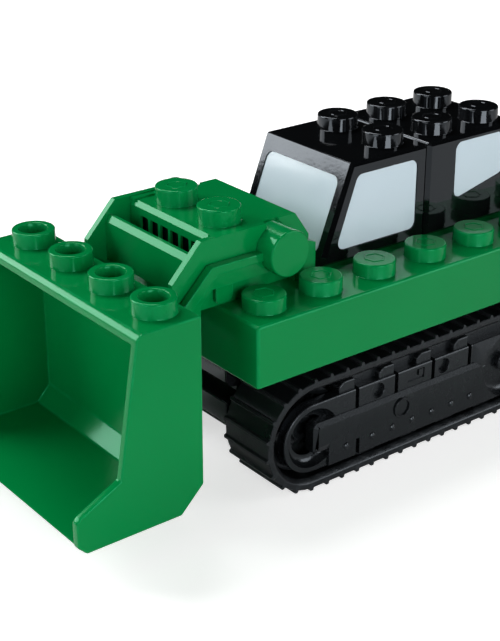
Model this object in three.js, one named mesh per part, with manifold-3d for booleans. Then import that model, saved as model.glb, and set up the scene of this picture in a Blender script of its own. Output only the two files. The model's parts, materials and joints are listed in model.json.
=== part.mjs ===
// A construction-brick toy loader on crawler tracks, built from studded bricks.
// Millimetres. +Z up, the bucket faces -Y, X runs across. The origin is on the ground, under the
// middle of the object's box.
import * as THREE from 'three';
import { mergeVertices } from 'three/addons/utils/BufferGeometryUtils.js';
import Module from 'manifold-3d';

const wasm = await Module();
wasm.setup();

// ---------------------------------------------------------------- driving dimensions

const PITCH = 8; // distance between studs
const STUD_RADIUS = 2.45;
const STUD_HEIGHT = 1.75;
const STUD_SIDES = 16;
const STUD_ROOT = 0.4; // how far a stud starts below the face that it stands on
const FIT = 0.3; // gap between pieces that move or are cut round each other
const ROUND = 32; // sides of a shaft or a bore
const POCKET_SIDES = 12;
const RUNNING_GAP = 0.06; // radial clearance of a shaft that turns in its bore

// Body brick: four studs wide and ten long, open below.
const BODY_HALF_WIDTH = 15.9;
const BODY_STUDS_LONG = 10;
const BODY_FRONT = -28.425;
const BODY_LENGTH = BODY_STUDS_LONG * PITCH - 0.2;
const BODY_REAR = BODY_FRONT + BODY_LENGTH;
const BODY_MIDDLE = (BODY_FRONT + BODY_REAR) / 2;
const BODY_BOTTOM = 15.37;
const BODY_TOP = 22.77;
const BODY_WALL = 1.6;
const FIRST_STUD_ROW = BODY_FRONT + PITCH / 2 - 0.1;
const REAR_OPEN_ROWS = 3; // rows behind the cab that are studded right across
const OUTER_STUD_X = 1.5 * PITCH;
const INNER_STUD_X = 0.5 * PITCH;

// Chassis: a hull between the tracks. Its ends have a ledge below the body and a bar below that.
const HULL_NOSE = BODY_FRONT + 1.925;
const HULL_TAIL = 2 * BODY_MIDDLE - HULL_NOSE;
const HULL_BOTTOM = 4.2;
const HULL_RAMP = 3; // length of the sloping underside at each end
const BAR_BOTTOM = 7.2;
const BAR_TOP = 9.8;
const LEDGE_BOTTOM = 11.6;
const RECESS_DEPTH = 1.5; // between the ledge and the bar
const PLUG_DROP = 0.3; // how far the plug that fills the body reaches below it

// Tracks: a ribbed belt round two wheels on each side.
const WHEEL_FRONT = -20.195;
const WHEEL_REAR = 2 * BODY_MIDDLE - WHEEL_FRONT;
const AXLE_HEIGHT = 7.09;
const RIB_TIP_RADIUS = AXLE_HEIGHT;
const BELT_RADIUS = 6.62;
const BELT_INNER_RADIUS = 5.65;
const BELT_INNER_X = 8.1;
const BELT_OUTER_X = 15.9;
const RIB_COUNT = 73;
const RIB_SHARE = 0.24; // part of each rib's pitch that the rib fills
const BELT_TURN_STEPS = 16; // steps in each half turn of the belt's inner face
const WHEEL_RADIUS = BELT_INNER_RADIUS - FIT;
const WHEEL_INNER_X = 8.4;
const WHEEL_OUTER_X = 13.6;
const WHEEL_DISH_RADIUS = 4.2;
const WHEEL_HUB_RADIUS = 2.4;
const WHEEL_DISH_DEPTH = 1.2;
const AXLE_RADIUS = 1.5;
const TRACK_FRAME_RADIUS = 4.6;
const TRACK_FRAME_INNER_X = 7.7;
const TRACK_PLATE_X = 14;
const TRACK_FRAME_OUTER_X = 15.3;
const TRACK_BEAM_OUTER_X = 15.9;
const CORE_HALF_HEIGHT = BELT_INNER_RADIUS - 0.5;
const HUB_WINDOW_RADIUS = 3.5;
const BEAM_OVERHANG = 0.85; // how far the beam passes each wheel's centre
const BEAM_RISE = 1.5; // top of the beam above the axles
const BEAM_DROP = 2.1;
const BEAM_CHAMFER = 1;
const MIDDLE_POCKET_RADIUS = 4;
const MIDDLE_POCKET_DEPTH = 1.6;
const PLATE_SLOT_WIDTH = 0.6;
const PLATE_SLOT_DEPTH = 0.8;
const PLATE_SLOT_BOTTOM = AXLE_HEIGHT + 1.85;
const PLATE_SLOTS = [6.1, 12.2, 17.9, 24.1]; // from the front wheel's centre, and mirrored
const PLATE_POCKET_RADIUS = 0.95;
const PLATE_POCKET_RISE = 3;
const PLATE_POCKETS = [9.5, 19.9];

// Cab: two bricks, two studs wide, with glazing set into them.
const CAB_HALF_WIDTH = 7.9;
const CAB_TOP = 34.52;
const CAB_NOSE_FOOT = -13.1; // front of the cab at the body's top
const CAB_NOSE_TOP = -8.6; // front of the cab at its own top
const CAB_JOINT = BODY_FRONT + 4 * PITCH - 0.1;
const CAB_JOINT_GAP = 0.15;
const CAB_TAIL_TOP = CAB_JOINT + 15;
const CAB_TAIL_FOOT = CAB_JOINT + 19.4;
const GLASS_DEPTH = 0.6; // depth of the pocket that a pane sits in
const PANE_THICKNESS = 0.5;
const PANE_GAP = 0.05;
const PANE_BASE = GLASS_DEPTH - PANE_GAP; // depth of a pane's back below the cab's face
const SIDE_CORNER = 1;
const END_CORNER = 0.7;
// Side panes as [y, z] corners. End panes as [x, distance up the slope] corners.
const FRONT_SIDE_PANE = [[-10.7, 24.4], [1.55, 24.4], [1.55, 33], [-7.55, 33]];
const REAR_SIDE_PANE = [[8.1, 26.55], [16.6, 28.55], [16.1, 33.65], [8.05, 33.65]];
const WINDSHIELD = [[-6.4, 1.5], [6.4, 1.5], [6.4, 10.55], [-6.4, 10.55]];
const REAR_PANE = [[-6.4, 3.4], [6.4, 3.4], [6.4, 11.2], [-6.4, 11.2]];

// Hood: a studded deck with side cheeks and a grille, fixed to the body's front.
const DECK_TOP = 30.3;
const DECK_HALF_WIDTH = 7.4;
const DECK_STUD_HEIGHT = 2;
const HOOD_HALF_WIDTH = 8.65;
const HOOD_FRONT = BODY_FRONT;
const HOOD_REAR = -14.5;
const DECK_REAR = -16.5; // where the deck ends and slopes down to the hood's rear
const HOOD_REAR_TOP = 27.4;
const CHEEK_TOP = 30.62;
const CHEEK_OVERLAP = 0.2;
const SHOULDER_TOP = 28;
const SHOULDER_REAR_TOP = 26.8;
const NOSE_FRONT = -31.7;
const NOSE_BACK = -30.7;
const NOSE_BOTTOM = BODY_TOP + 0.9;
const NOSE_TOP = 29;
const GRILLE_SLOTS = 6;
const GRILLE_SPACING = 1.95;
const GRILLE_SLOT_WIDTH = 1.25;
const GRILLE_DEPTH = 2.4;
const GRILLE_BOTTOM = BODY_TOP + 2.6;
const GRILLE_TOP = DECK_TOP - 1.5;

// Loader arms, which turn on the pivot, and the bucket, which turns on the hinge pin.
const PIVOT_Y = -20.23;
const PIVOT_Z = 27.54;
const PIVOT_BOSS_RADIUS = 2.69;
const BOSS_INNER_X = 7.25;
const BOSS_OUTER_X = 11.25;
const BOSS_CAP = 0.8; // material between the end of the pin's hole and the boss's outer face
const BOSS_NOTCH_FRONT = PIVOT_Y - 1.2; // the cut in the deck's edge over each boss
const BOSS_NOTCH_REAR = PIVOT_Y + 1.4;
const BOSS_NOTCH_BOTTOM = PIVOT_Z - PIVOT_BOSS_RADIUS - FIT;
const PIVOT_PIN_RADIUS = 1.25;
const PIN_END_GAP = 0.2;
const ARM_INNER_X = 8.8;
const ARM_PLATE_X = 9.4;
const ARM_RIB_X = 9.8;
const ARM_TOP = 27.9;
const ARM_LOW = 25.1;
const ARM_BEND = -29.75; // where the top edge turns down towards the bucket
const LEG_TOP = 22.7; // where that slope meets the front of the leg
const RIB_BAND = 1.05; // the rib's height along the arm
const LEG_BAND = 1.6; // and its width down the leg
const LUG_Y = -27.75; // middle of the lug under the arm
const LUG_BOTTOM = 23.25;
const LUG_HALF_LENGTH = 1.15;
const LUG_CORNER = 0.5;
const LUG_OUTER_X = 9.3;
const HINGE_Y = -32.995;
const HINGE_Z = 18.02;
const HINGE_PIN_RADIUS = 1.05;
const ARM_END_RADIUS = 2.03;

// Bucket: a thin-walled scoop with four hollow studs on top.
const BUCKET_HALF_WIDTH = 15.9;
const BUCKET_SIDE = 0.95;
const BUCKET_BACK = -35.63;
const BUCKET_FRONT = -51.375;
const BUCKET_TOP = 26.18;
const BUCKET_BOTTOM = 3.72;
const BUCKET_STUD_Y = -38.7;
const HOLLOW_STUD_BORE = 1.6;
const HOLLOW_STUD_DEPTH = 2.15;
// Side view of the scoop as [y, z] points, and of the room inside it, which is open to the front.
const BUCKET_SIDE_VIEW = [
  [BUCKET_BACK, BUCKET_TOP], [-42.9, BUCKET_TOP], [-43.5, 25.7], [-45.95, 10.65],
  [-50.9, 8.1], [BUCKET_FRONT, 7.6], [BUCKET_FRONT, 4.8], [-50.3, BUCKET_BOTTOM],
  [-38.53, BUCKET_BOTTOM], [BUCKET_BACK, 6.62],
];
const BUCKET_ROOM = [[-36.28, 24.9], [-36.28, 6.25], [-38, 4.27], [-53, 4.27], [-53, 24.9]];
const KNUCKLE_RADIUS = 1.65;
const KNUCKLE_HALF_HEIGHT = 2.6;
const KNUCKLE_INNER_X = 3;
const KNUCKLE_OUTER_X = 8.6;

// ---------------------------------------------------------------- materials

function plastic(color, roughness) {
  return new THREE.MeshStandardMaterial({ color, roughness, metalness: 0 });
}

const GREEN = plastic(0x007a35, 0.3);
const BLACK = plastic(0x1c1e20, 0.25);
const TRACK_BLACK = plastic(0x24272a, 0.5);
const BELT_BLACK = plastic(0x1d2022, 0.6);
const PANE = plastic(0xcfdfe8, 0.2);

// ---------------------------------------------------------------- solids

function solidOf(geometry) {
  const bare = geometry.clone();
  bare.deleteAttribute('normal');
  bare.deleteAttribute('uv');
  const merged = mergeVertices(bare, 1e-5);
  return new wasm.Manifold(new wasm.Mesh({
    numProp: 3,
    vertProperties: new Float32Array(merged.attributes.position.array),
    triVerts: new Uint32Array(merged.index.array),
  }));
}

function geometryOf(solid) {
  const mesh = solid.getMesh();
  const geometry = new THREE.BufferGeometry();
  geometry.setAttribute('position', new THREE.BufferAttribute(new Float32Array(mesh.vertProperties), 3));
  geometry.setIndex(new THREE.BufferAttribute(new Uint32Array(mesh.triVerts), 1));
  geometry.computeVertexNormals();
  return geometry;
}

function unite(...solids) {
  return solids.flat().reduce((whole, next) => whole.add(next));
}

function cut(solid, ...tools) {
  return tools.flat().reduce((whole, next) => whole.subtract(next), solid);
}

// A box between two corners.
function block([x0, y0, z0], [x1, y1, z1]) {
  const geometry = new THREE.BoxGeometry(x1 - x0, y1 - y0, z1 - z0);
  geometry.translate((x0 + x1) / 2, (y0 + y1) / 2, (z0 + z1) / 2);
  return solidOf(geometry);
}

// A box that reaches the same distance to both sides of the middle.
function centredBlock(halfWidth, [y0, z0], [y1, z1]) {
  return block([-halfWidth, y0, z0], [halfWidth, y1, z1]);
}

// An outline in the side view, as [y, z] points, made solid from x0 to x1.
const SIDE_VIEW = new THREE.Matrix4().makeBasis(
  new THREE.Vector3(0, 1, 0),
  new THREE.Vector3(0, 0, 1),
  new THREE.Vector3(1, 0, 0),
);

function slab(outline, x0, x1, holes = []) {
  const shape = new THREE.Shape(outline.map(([y, z]) => new THREE.Vector2(y, z)));
  for (const hole of holes) {
    shape.holes.push(new THREE.Path(hole.map(([y, z]) => new THREE.Vector2(y, z))));
  }
  const geometry = new THREE.ExtrudeGeometry(shape, { depth: x1 - x0, bevelEnabled: false, steps: 1 });
  geometry.applyMatrix4(SIDE_VIEW);
  geometry.translate(x0, 0, 0);
  return solidOf(geometry);
}

// Points on an arc in the side view, both ends included. Angles are in degrees from +Y towards +Z.
function arc([y, z], radius, from, to, steps) {
  const points = [];
  for (let i = 0; i <= steps; i += 1) {
    const angle = THREE.MathUtils.degToRad(from + ((to - from) * i) / steps);
    points.push([y + radius * Math.cos(angle), z + radius * Math.sin(angle)]);
  }
  return points;
}

// The outline round both wheels of a track, at one distance from the wheels' centres.
function stadium(radius, steps) {
  return [
    ...arc([WHEEL_REAR, AXLE_HEIGHT], radius, -90, 90, steps),
    ...arc([WHEEL_FRONT, AXLE_HEIGHT], radius, 90, 270, steps),
  ];
}

function shaft(radius, [y, z], x0, x1, sides = ROUND) {
  const geometry = new THREE.CylinderGeometry(radius, radius, x1 - x0, sides);
  geometry.rotateZ(Math.PI / 2);
  geometry.translate((x0 + x1) / 2, y, z);
  return solidOf(geometry);
}

function upright(radius, [x, y], z0, z1, sides = STUD_SIDES) {
  const geometry = new THREE.CylinderGeometry(radius, radius, z1 - z0, sides);
  geometry.rotateX(Math.PI / 2);
  geometry.translate(x, y, (z0 + z1) / 2);
  return solidOf(geometry);
}

function stud(x, y, face, height = STUD_HEIGHT) {
  return upright(STUD_RADIUS, [x, y], face - STUD_ROOT, face + height);
}

function mirrored(solid) {
  return solid.mirror([1, 0, 0]);
}

function bothSides(solid) {
  return solid.add(mirrored(solid));
}

// ---------------------------------------------------------------- the assembly

const toy = new THREE.Group();

function place(name, solid, material) {
  const mesh = new THREE.Mesh(geometryOf(solid), material);
  mesh.name = name;
  toy.add(mesh);
}

// Adds a right-hand piece and its mirror image.
function placePair(name, solid, material) {
  place(`${name}_right`, solid, material);
  place(`${name}_left`, mirrored(solid), material);
}

// ---------------------------------------------------------------- body and chassis

const OUTER_STUD_XS = [-OUTER_STUD_X, OUTER_STUD_X];
const INNER_STUD_XS = [-INNER_STUD_X, INNER_STUD_X];
const ALL_STUD_X = [...OUTER_STUD_XS, ...INNER_STUD_XS];

function studRow(row) {
  return FIRST_STUD_ROW + row * PITCH;
}

function makeBody() {
  const shell = cut(
    centredBlock(BODY_HALF_WIDTH, [BODY_FRONT, BODY_BOTTOM], [BODY_REAR, BODY_TOP]),
    centredBlock(
      BODY_HALF_WIDTH - BODY_WALL,
      [BODY_FRONT + BODY_WALL, BODY_BOTTOM - 1],
      [BODY_REAR - BODY_WALL, BODY_TOP - BODY_WALL],
    ),
  );
  const studs = [];
  for (let row = 0; row < BODY_STUDS_LONG; row += 1) {
    const openRow = row >= BODY_STUDS_LONG - REAR_OPEN_ROWS;
    for (const x of openRow ? ALL_STUD_X : OUTER_STUD_XS) {
      studs.push(stud(x, studRow(row), BODY_TOP));
    }
  }
  return unite(shell, studs);
}

// The black undercarriage: a plug that fills the body from below and a hull between the tracks.
function makeChassis() {
  const inset = BODY_WALL + FIT;
  const plugBottom = BODY_BOTTOM - PLUG_DROP;
  const plug = centredBlock(
    BODY_HALF_WIDTH - inset,
    [BODY_FRONT + inset, plugBottom],
    [BODY_REAR - inset, BODY_TOP - inset],
  );
  const hull = slab([
    [HULL_NOSE, BAR_BOTTOM], [HULL_NOSE + HULL_RAMP, HULL_BOTTOM],
    [HULL_TAIL - HULL_RAMP, HULL_BOTTOM], [HULL_TAIL, BAR_BOTTOM],
    [HULL_TAIL, BAR_TOP], [HULL_TAIL - RECESS_DEPTH, BAR_TOP],
    [HULL_TAIL - RECESS_DEPTH, LEDGE_BOTTOM], [HULL_TAIL, LEDGE_BOTTOM],
    [HULL_TAIL, plugBottom + FIT], [HULL_NOSE, plugBottom + FIT],
    [HULL_NOSE, LEDGE_BOTTOM], [HULL_NOSE + RECESS_DEPTH, LEDGE_BOTTOM],
    [HULL_NOSE + RECESS_DEPTH, BAR_TOP], [HULL_NOSE, BAR_TOP],
  ], -TRACK_FRAME_INNER_X, TRACK_FRAME_INNER_X);
  const bores = [WHEEL_FRONT, WHEEL_REAR].map((y) => (
    shaft(AXLE_RADIUS + RUNNING_GAP, [y, AXLE_HEIGHT], -WHEEL_INNER_X, WHEEL_INNER_X)
  ));
  return cut(unite(plug, hull), bores);
}

place('main_body', makeBody(), GREEN);
place('chassis_frame', makeChassis(), BLACK);

// ---------------------------------------------------------------- tracks

// A point on the belt's path at a distance along it from the front wheel's top, with its normal.
function beltPoint(distance, radius) {
  const straight = WHEEL_REAR - WHEEL_FRONT;
  const turn = Math.PI * BELT_RADIUS;
  const length = 2 * (straight + turn);
  const s = ((distance % length) + length) % length;
  if (s < straight) {
    return [WHEEL_FRONT + s, AXLE_HEIGHT + radius];
  }
  if (s < straight + turn) {
    const angle = Math.PI / 2 - (s - straight) / BELT_RADIUS;
    return [WHEEL_REAR + radius * Math.cos(angle), AXLE_HEIGHT + radius * Math.sin(angle)];
  }
  if (s < 2 * straight + turn) {
    return [WHEEL_REAR - (s - straight - turn), AXLE_HEIGHT - radius];
  }
  const angle = -Math.PI / 2 - (s - 2 * straight - turn) / BELT_RADIUS;
  return [WHEEL_FRONT + radius * Math.cos(angle), AXLE_HEIGHT + radius * Math.sin(angle)];
}

function makeBelt() {
  const length = 2 * (WHEEL_REAR - WHEEL_FRONT + Math.PI * BELT_RADIUS);
  const pitch = length / RIB_COUNT;
  const outline = [];
  for (let rib = 0; rib < RIB_COUNT; rib += 1) {
    const start = (rib - RIB_SHARE / 2) * pitch;
    const end = start + RIB_SHARE * pitch;
    outline.push(beltPoint(start, BELT_RADIUS), beltPoint(start, RIB_TIP_RADIUS));
    outline.push(beltPoint(end, RIB_TIP_RADIUS), beltPoint(end, BELT_RADIUS));
  }
  return slab(outline, BELT_INNER_X, BELT_OUTER_X, [stadium(BELT_INNER_RADIUS, BELT_TURN_STEPS)]);
}

// The slots in the top of the frame's plate and the round pockets between them.
function plateRecesses() {
  const fromX = TRACK_FRAME_OUTER_X - PLATE_SLOT_DEPTH;
  const toX = TRACK_FRAME_OUTER_X + FIT;
  const plateTop = AXLE_HEIGHT + TRACK_FRAME_RADIUS + FIT;
  const recesses = [];
  for (const offset of PLATE_SLOTS) {
    for (const y of [WHEEL_FRONT + offset, WHEEL_REAR - offset]) {
      recesses.push(block(
        [fromX, y - PLATE_SLOT_WIDTH / 2, PLATE_SLOT_BOTTOM],
        [toX, y + PLATE_SLOT_WIDTH / 2, plateTop],
      ));
    }
  }
  for (const offset of PLATE_POCKETS) {
    for (const y of [WHEEL_FRONT + offset, WHEEL_REAR - offset]) {
      recesses.push(shaft(PLATE_POCKET_RADIUS, [y, AXLE_HEIGHT + PLATE_POCKET_RISE], fromX, toX, POCKET_SIDES));
    }
  }
  return recesses;
}

// The fixed frame inside one belt: a core between the wheels and a plate that covers them.
function makeTrackFrame() {
  const wheelRoom = WHEEL_RADIUS + FIT;
  const core = block(
    [TRACK_FRAME_INNER_X, WHEEL_FRONT + wheelRoom, AXLE_HEIGHT - CORE_HALF_HEIGHT],
    [TRACK_PLATE_X, WHEEL_REAR - wheelRoom, AXLE_HEIGHT + CORE_HALF_HEIGHT],
  );
  const plate = slab(stadium(TRACK_FRAME_RADIUS, 12), TRACK_PLATE_X, TRACK_FRAME_OUTER_X);
  const hubWindows = [WHEEL_FRONT, WHEEL_REAR].map((y) => (
    shaft(HUB_WINDOW_RADIUS, [y, AXLE_HEIGHT], TRACK_PLATE_X - FIT, TRACK_FRAME_OUTER_X + FIT, 24)
  ));
  // The raised beam runs from hub to hub, and its chamfered ends cross the two windows.
  const beamFront = WHEEL_FRONT - BEAM_OVERHANG;
  const beamRear = WHEEL_REAR + BEAM_OVERHANG;
  const beamTop = AXLE_HEIGHT + BEAM_RISE;
  const beamBottom = AXLE_HEIGHT - BEAM_DROP;
  const beam = slab([
    [beamFront, beamBottom], [beamRear, beamBottom], [beamRear, beamTop - BEAM_CHAMFER],
    [beamRear - BEAM_CHAMFER, beamTop], [beamFront + BEAM_CHAMFER, beamTop],
    [beamFront, beamTop - BEAM_CHAMFER],
  ], TRACK_PLATE_X, TRACK_BEAM_OUTER_X);
  const pocket = shaft(
    MIDDLE_POCKET_RADIUS,
    [BODY_MIDDLE, AXLE_HEIGHT],
    TRACK_BEAM_OUTER_X - MIDDLE_POCKET_DEPTH,
    TRACK_BEAM_OUTER_X + FIT,
    24,
  );
  return cut(unite(core, cut(plate, hubWindows, plateRecesses()), beam), pocket);
}

function makeWheel(y) {
  const centre = [y, AXLE_HEIGHT];
  const drum = shaft(WHEEL_RADIUS, centre, WHEEL_INNER_X, WHEEL_OUTER_X);
  const dishFloor = WHEEL_OUTER_X - WHEEL_DISH_DEPTH;
  const dish = cut(
    shaft(WHEEL_DISH_RADIUS, centre, dishFloor, WHEEL_OUTER_X + FIT, 24),
    shaft(WHEEL_HUB_RADIUS, centre, dishFloor - FIT, WHEEL_OUTER_X + 2 * FIT, 24),
  );
  const bore = shaft(AXLE_RADIUS + RUNNING_GAP, centre, 0, WHEEL_OUTER_X + FIT);
  return cut(drum, dish, bore);
}

placePair('track_belt', makeBelt(), BELT_BLACK);
placePair('track_frame', makeTrackFrame(), TRACK_BLACK);
for (const [end, y] of [['front', WHEEL_FRONT], ['rear', WHEEL_REAR]]) {
  place(`${end}_axle`, shaft(AXLE_RADIUS, [y, AXLE_HEIGHT], -WHEEL_OUTER_X, WHEEL_OUTER_X), BLACK);
  placePair(`${end}_wheel`, makeWheel(y), BLACK);
}

// ---------------------------------------------------------------- cab

// A rounded four-sided outline, used for every pane and the pocket that it sits in.
function roundedOutline(corners, radius) {
  const points = [];
  corners.forEach((corner, i) => {
    const here = new THREE.Vector2(...corner);
    const before = new THREE.Vector2(...corners[(i + corners.length - 1) % corners.length]);
    const after = new THREE.Vector2(...corners[(i + 1) % corners.length]);
    const start = here.clone().add(before.sub(here).setLength(radius));
    const end = here.clone().add(after.sub(here).setLength(radius));
    const curve = new THREE.QuadraticBezierCurve(start, here, end);
    points.push(...curve.getPoints(3).map((p) => [p.x, p.y]));
  });
  return points;
}

function grown(corners, amount) {
  const middle = [0, 1].map((axis) => (
    corners.reduce((sum, corner) => sum + corner[axis] / corners.length, 0)
  ));
  return corners.map((corner) => (
    corner.map((value, axis) => value + Math.sign(value - middle[axis]) * amount)
  ));
}

function sidePane(corners) {
  const back = CAB_HALF_WIDTH - PANE_BASE;
  return slab(roundedOutline(corners, SIDE_CORNER), back, back + PANE_THICKNESS);
}

function sidePocket(corners) {
  const outline = roundedOutline(grown(corners, PANE_GAP), SIDE_CORNER);
  return bothSides(slab(outline, CAB_HALF_WIDTH - GLASS_DEPTH, CAB_HALF_WIDTH + FIT));
}

// A plate on a face that leans back by an angle from the upright, from a depth below the face.
function leaningPlate(corners, foot, lean, depth, thickness) {
  const outline = roundedOutline(corners, END_CORNER);
  const shape = new THREE.Shape(outline.map(([x, s]) => new THREE.Vector2(x, s)));
  const geometry = new THREE.ExtrudeGeometry(shape, { depth: thickness, bevelEnabled: false, steps: 1 });
  geometry.translate(0, 0, -depth);
  geometry.rotateX(Math.PI / 2 - lean);
  geometry.translate(0, foot, BODY_TOP);
  return solidOf(geometry);
}

const cabHeight = CAB_TOP - BODY_TOP;
const noseLean = Math.atan((CAB_NOSE_TOP - CAB_NOSE_FOOT) / cabHeight);
const tailLean = Math.atan((CAB_TAIL_FOOT - CAB_TAIL_TOP) / cabHeight);

function nosePlate(corners, depth, thickness) {
  return leaningPlate(corners, CAB_NOSE_FOOT, noseLean, depth, thickness);
}

// The tail faces +Y: a plate that leans like the tail, turned half way round.
function tailPlate(corners, depth, thickness) {
  const plate = leaningPlate(corners, 0, tailLean, depth, thickness);
  return plate.translate([0, 0, -BODY_TOP]).rotate([0, 0, 180]).translate([0, CAB_TAIL_FOOT, BODY_TOP]);
}

function makeCabFront() {
  const rear = CAB_JOINT - CAB_JOINT_GAP;
  const brick = slab([
    [CAB_NOSE_FOOT, BODY_TOP], [rear, BODY_TOP], [rear, CAB_TOP], [CAB_NOSE_TOP, CAB_TOP],
  ], -CAB_HALF_WIDTH, CAB_HALF_WIDTH);
  const studs = INNER_STUD_XS.map((x) => stud(x, studRow(3), CAB_TOP));
  const windshieldPocket = nosePlate(grown(WINDSHIELD, PANE_GAP), GLASS_DEPTH, GLASS_DEPTH + FIT);
  return cut(unite(brick, studs), windshieldPocket, sidePocket(FRONT_SIDE_PANE));
}

function makeCabRear() {
  const brick = slab([
    [CAB_JOINT, BODY_TOP], [CAB_TAIL_FOOT, BODY_TOP], [CAB_TAIL_TOP, CAB_TOP], [CAB_JOINT, CAB_TOP],
  ], -CAB_HALF_WIDTH, CAB_HALF_WIDTH);
  const studs = [4, 5].flatMap((row) => INNER_STUD_XS.map((x) => stud(x, studRow(row), CAB_TOP)));
  const rearPocket = tailPlate(grown(REAR_PANE, PANE_GAP), GLASS_DEPTH, GLASS_DEPTH + FIT);
  return cut(unite(brick, studs), rearPocket, sidePocket(REAR_SIDE_PANE));
}

place('cab_front', makeCabFront(), BLACK);
place('cab_rear', makeCabRear(), BLACK);
place('windshield', nosePlate(WINDSHIELD, PANE_BASE, PANE_THICKNESS), PANE);
place('rear_window', tailPlate(REAR_PANE, PANE_BASE, PANE_THICKNESS), PANE);
placePair('front_side_window', sidePane(FRONT_SIDE_PANE), PANE);
placePair('rear_side_window', sidePane(REAR_SIDE_PANE), PANE);

// ---------------------------------------------------------------- hood

function makeHood() {
  const core = slab([
    [HOOD_FRONT, BODY_TOP], [HOOD_REAR, BODY_TOP], [HOOD_REAR, HOOD_REAR_TOP],
    [DECK_REAR, DECK_TOP], [HOOD_FRONT, DECK_TOP],
  ], -DECK_HALF_WIDTH, DECK_HALF_WIDTH);
  // Cheeks: the sloping sides of the nose, hollowed at the rear for the arms' bosses.
  const cheek = slab([
    [BOSS_NOTCH_FRONT, BODY_TOP], [BOSS_NOTCH_FRONT, CHEEK_TOP], [-30.35, CHEEK_TOP], [-34.15, 26.55],
    [-34.15, 24.95], [-31, BODY_TOP],
  ], DECK_HALF_WIDTH - CHEEK_OVERLAP, HOOD_HALF_WIDTH);
  // Low blocks behind the bosses.
  const shoulderFront = PIVOT_Y + PIVOT_BOSS_RADIUS + FIT;
  const shoulder = slab([
    [shoulderFront, BODY_TOP], [HOOD_REAR, BODY_TOP], [HOOD_REAR, SHOULDER_REAR_TOP],
    [shoulderFront, SHOULDER_TOP],
  ], DECK_HALF_WIDTH - CHEEK_OVERLAP, HOOD_HALF_WIDTH);
  const nosePanel = slab([
    [NOSE_FRONT, NOSE_BOTTOM], [NOSE_BACK, NOSE_BOTTOM], [NOSE_BACK, NOSE_TOP],
    [NOSE_FRONT + 0.5, NOSE_TOP], [NOSE_FRONT, NOSE_TOP - 0.6],
  ], -DECK_HALF_WIDTH, DECK_HALF_WIDTH);
  // A shelf that joins the nose panel to the body's front.
  const shelf = centredBlock(
    DECK_HALF_WIDTH,
    [NOSE_BACK - FIT, NOSE_BOTTOM],
    [HOOD_FRONT + FIT, NOSE_BOTTOM + 1.2],
  );
  const studs = INNER_STUD_XS.map((x) => stud(x, studRow(0), DECK_TOP, DECK_STUD_HEIGHT));
  const slots = [];
  for (let i = 0; i < GRILLE_SLOTS; i += 1) {
    const x = (i - (GRILLE_SLOTS - 1) / 2) * GRILLE_SPACING;
    slots.push(block(
      [x - GRILLE_SLOT_WIDTH / 2, HOOD_FRONT - FIT, GRILLE_BOTTOM],
      [x + GRILLE_SLOT_WIDTH / 2, HOOD_FRONT + GRILLE_DEPTH, GRILLE_TOP],
    ));
  }
  const bossNotches = bothSides(block(
    [BOSS_INNER_X - FIT, BOSS_NOTCH_FRONT, BOSS_NOTCH_BOTTOM],
    [DECK_HALF_WIDTH + FIT, BOSS_NOTCH_REAR, DECK_TOP + FIT],
  ));
  const bossRoom = bothSides(
    shaft(PIVOT_BOSS_RADIUS + FIT, [PIVOT_Y, PIVOT_Z], BOSS_INNER_X - FIT, HOOD_HALF_WIDTH + FIT),
  );
  const pinBore = shaft(PIVOT_PIN_RADIUS + RUNNING_GAP, [PIVOT_Y, PIVOT_Z], -BOSS_INNER_X, BOSS_INNER_X);
  const solid = unite(core, bothSides(cheek), bothSides(shoulder), nosePanel, shelf, studs);
  return cut(solid, slots, bossNotches, bossRoom, pinBore);
}

const pinEnd = BOSS_OUTER_X - BOSS_CAP - PIN_END_GAP;
place('hood', makeHood(), GREEN);
place('arm_pivot_pin', shaft(PIVOT_PIN_RADIUS, [PIVOT_Y, PIVOT_Z], -pinEnd, pinEnd), BLACK);

// ---------------------------------------------------------------- loader arms

function makeArm() {
  const legFront = HINGE_Y - ARM_END_RADIUS;
  const legRear = HINGE_Y + ARM_END_RADIUS;
  const plate = slab([
    [PIVOT_Y, ARM_LOW], [PIVOT_Y, ARM_TOP], [ARM_BEND, ARM_TOP], [legFront, LEG_TOP],
    ...arc([HINGE_Y, HINGE_Z], ARM_END_RADIUS, 180, 360, 10),
    [legRear, 23.7], [-29.4, ARM_LOW],
  ], ARM_INNER_X, ARM_PLATE_X);
  // A rib along the arm's top edge and down the front of its leg.
  const rib = slab([
    [PIVOT_Y, ARM_TOP - RIB_BAND], [PIVOT_Y, ARM_TOP], [ARM_BEND, ARM_TOP], [legFront, LEG_TOP],
    [legFront, HINGE_Z], [legFront + LEG_BAND, HINGE_Z], [legFront + LEG_BAND, 22.6],
    [-28.9, ARM_TOP - RIB_BAND],
  ], ARM_INNER_X, ARM_RIB_X);
  const lug = slab([
    [LUG_Y - LUG_HALF_LENGTH, ARM_LOW + LUG_CORNER],
    [LUG_Y - LUG_HALF_LENGTH, LUG_BOTTOM + LUG_CORNER],
    [LUG_Y - LUG_HALF_LENGTH + LUG_CORNER, LUG_BOTTOM],
    [LUG_Y + LUG_HALF_LENGTH - LUG_CORNER, LUG_BOTTOM],
    [LUG_Y + LUG_HALF_LENGTH, LUG_BOTTOM + LUG_CORNER],
    [LUG_Y + LUG_HALF_LENGTH, ARM_LOW + LUG_CORNER],
  ], ARM_INNER_X, LUG_OUTER_X);
  const boss = shaft(PIVOT_BOSS_RADIUS, [PIVOT_Y, PIVOT_Z], BOSS_INNER_X, BOSS_OUTER_X);
  const pivotBore = shaft(
    PIVOT_PIN_RADIUS + RUNNING_GAP,
    [PIVOT_Y, PIVOT_Z],
    BOSS_INNER_X - FIT,
    BOSS_OUTER_X - BOSS_CAP,
  );
  const hingeBore = shaft(HINGE_PIN_RADIUS + RUNNING_GAP, [HINGE_Y, HINGE_Z], BOSS_INNER_X, ARM_RIB_X + FIT);
  return cut(unite(plate, rib, lug, boss), pivotBore, hingeBore);
}

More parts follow.
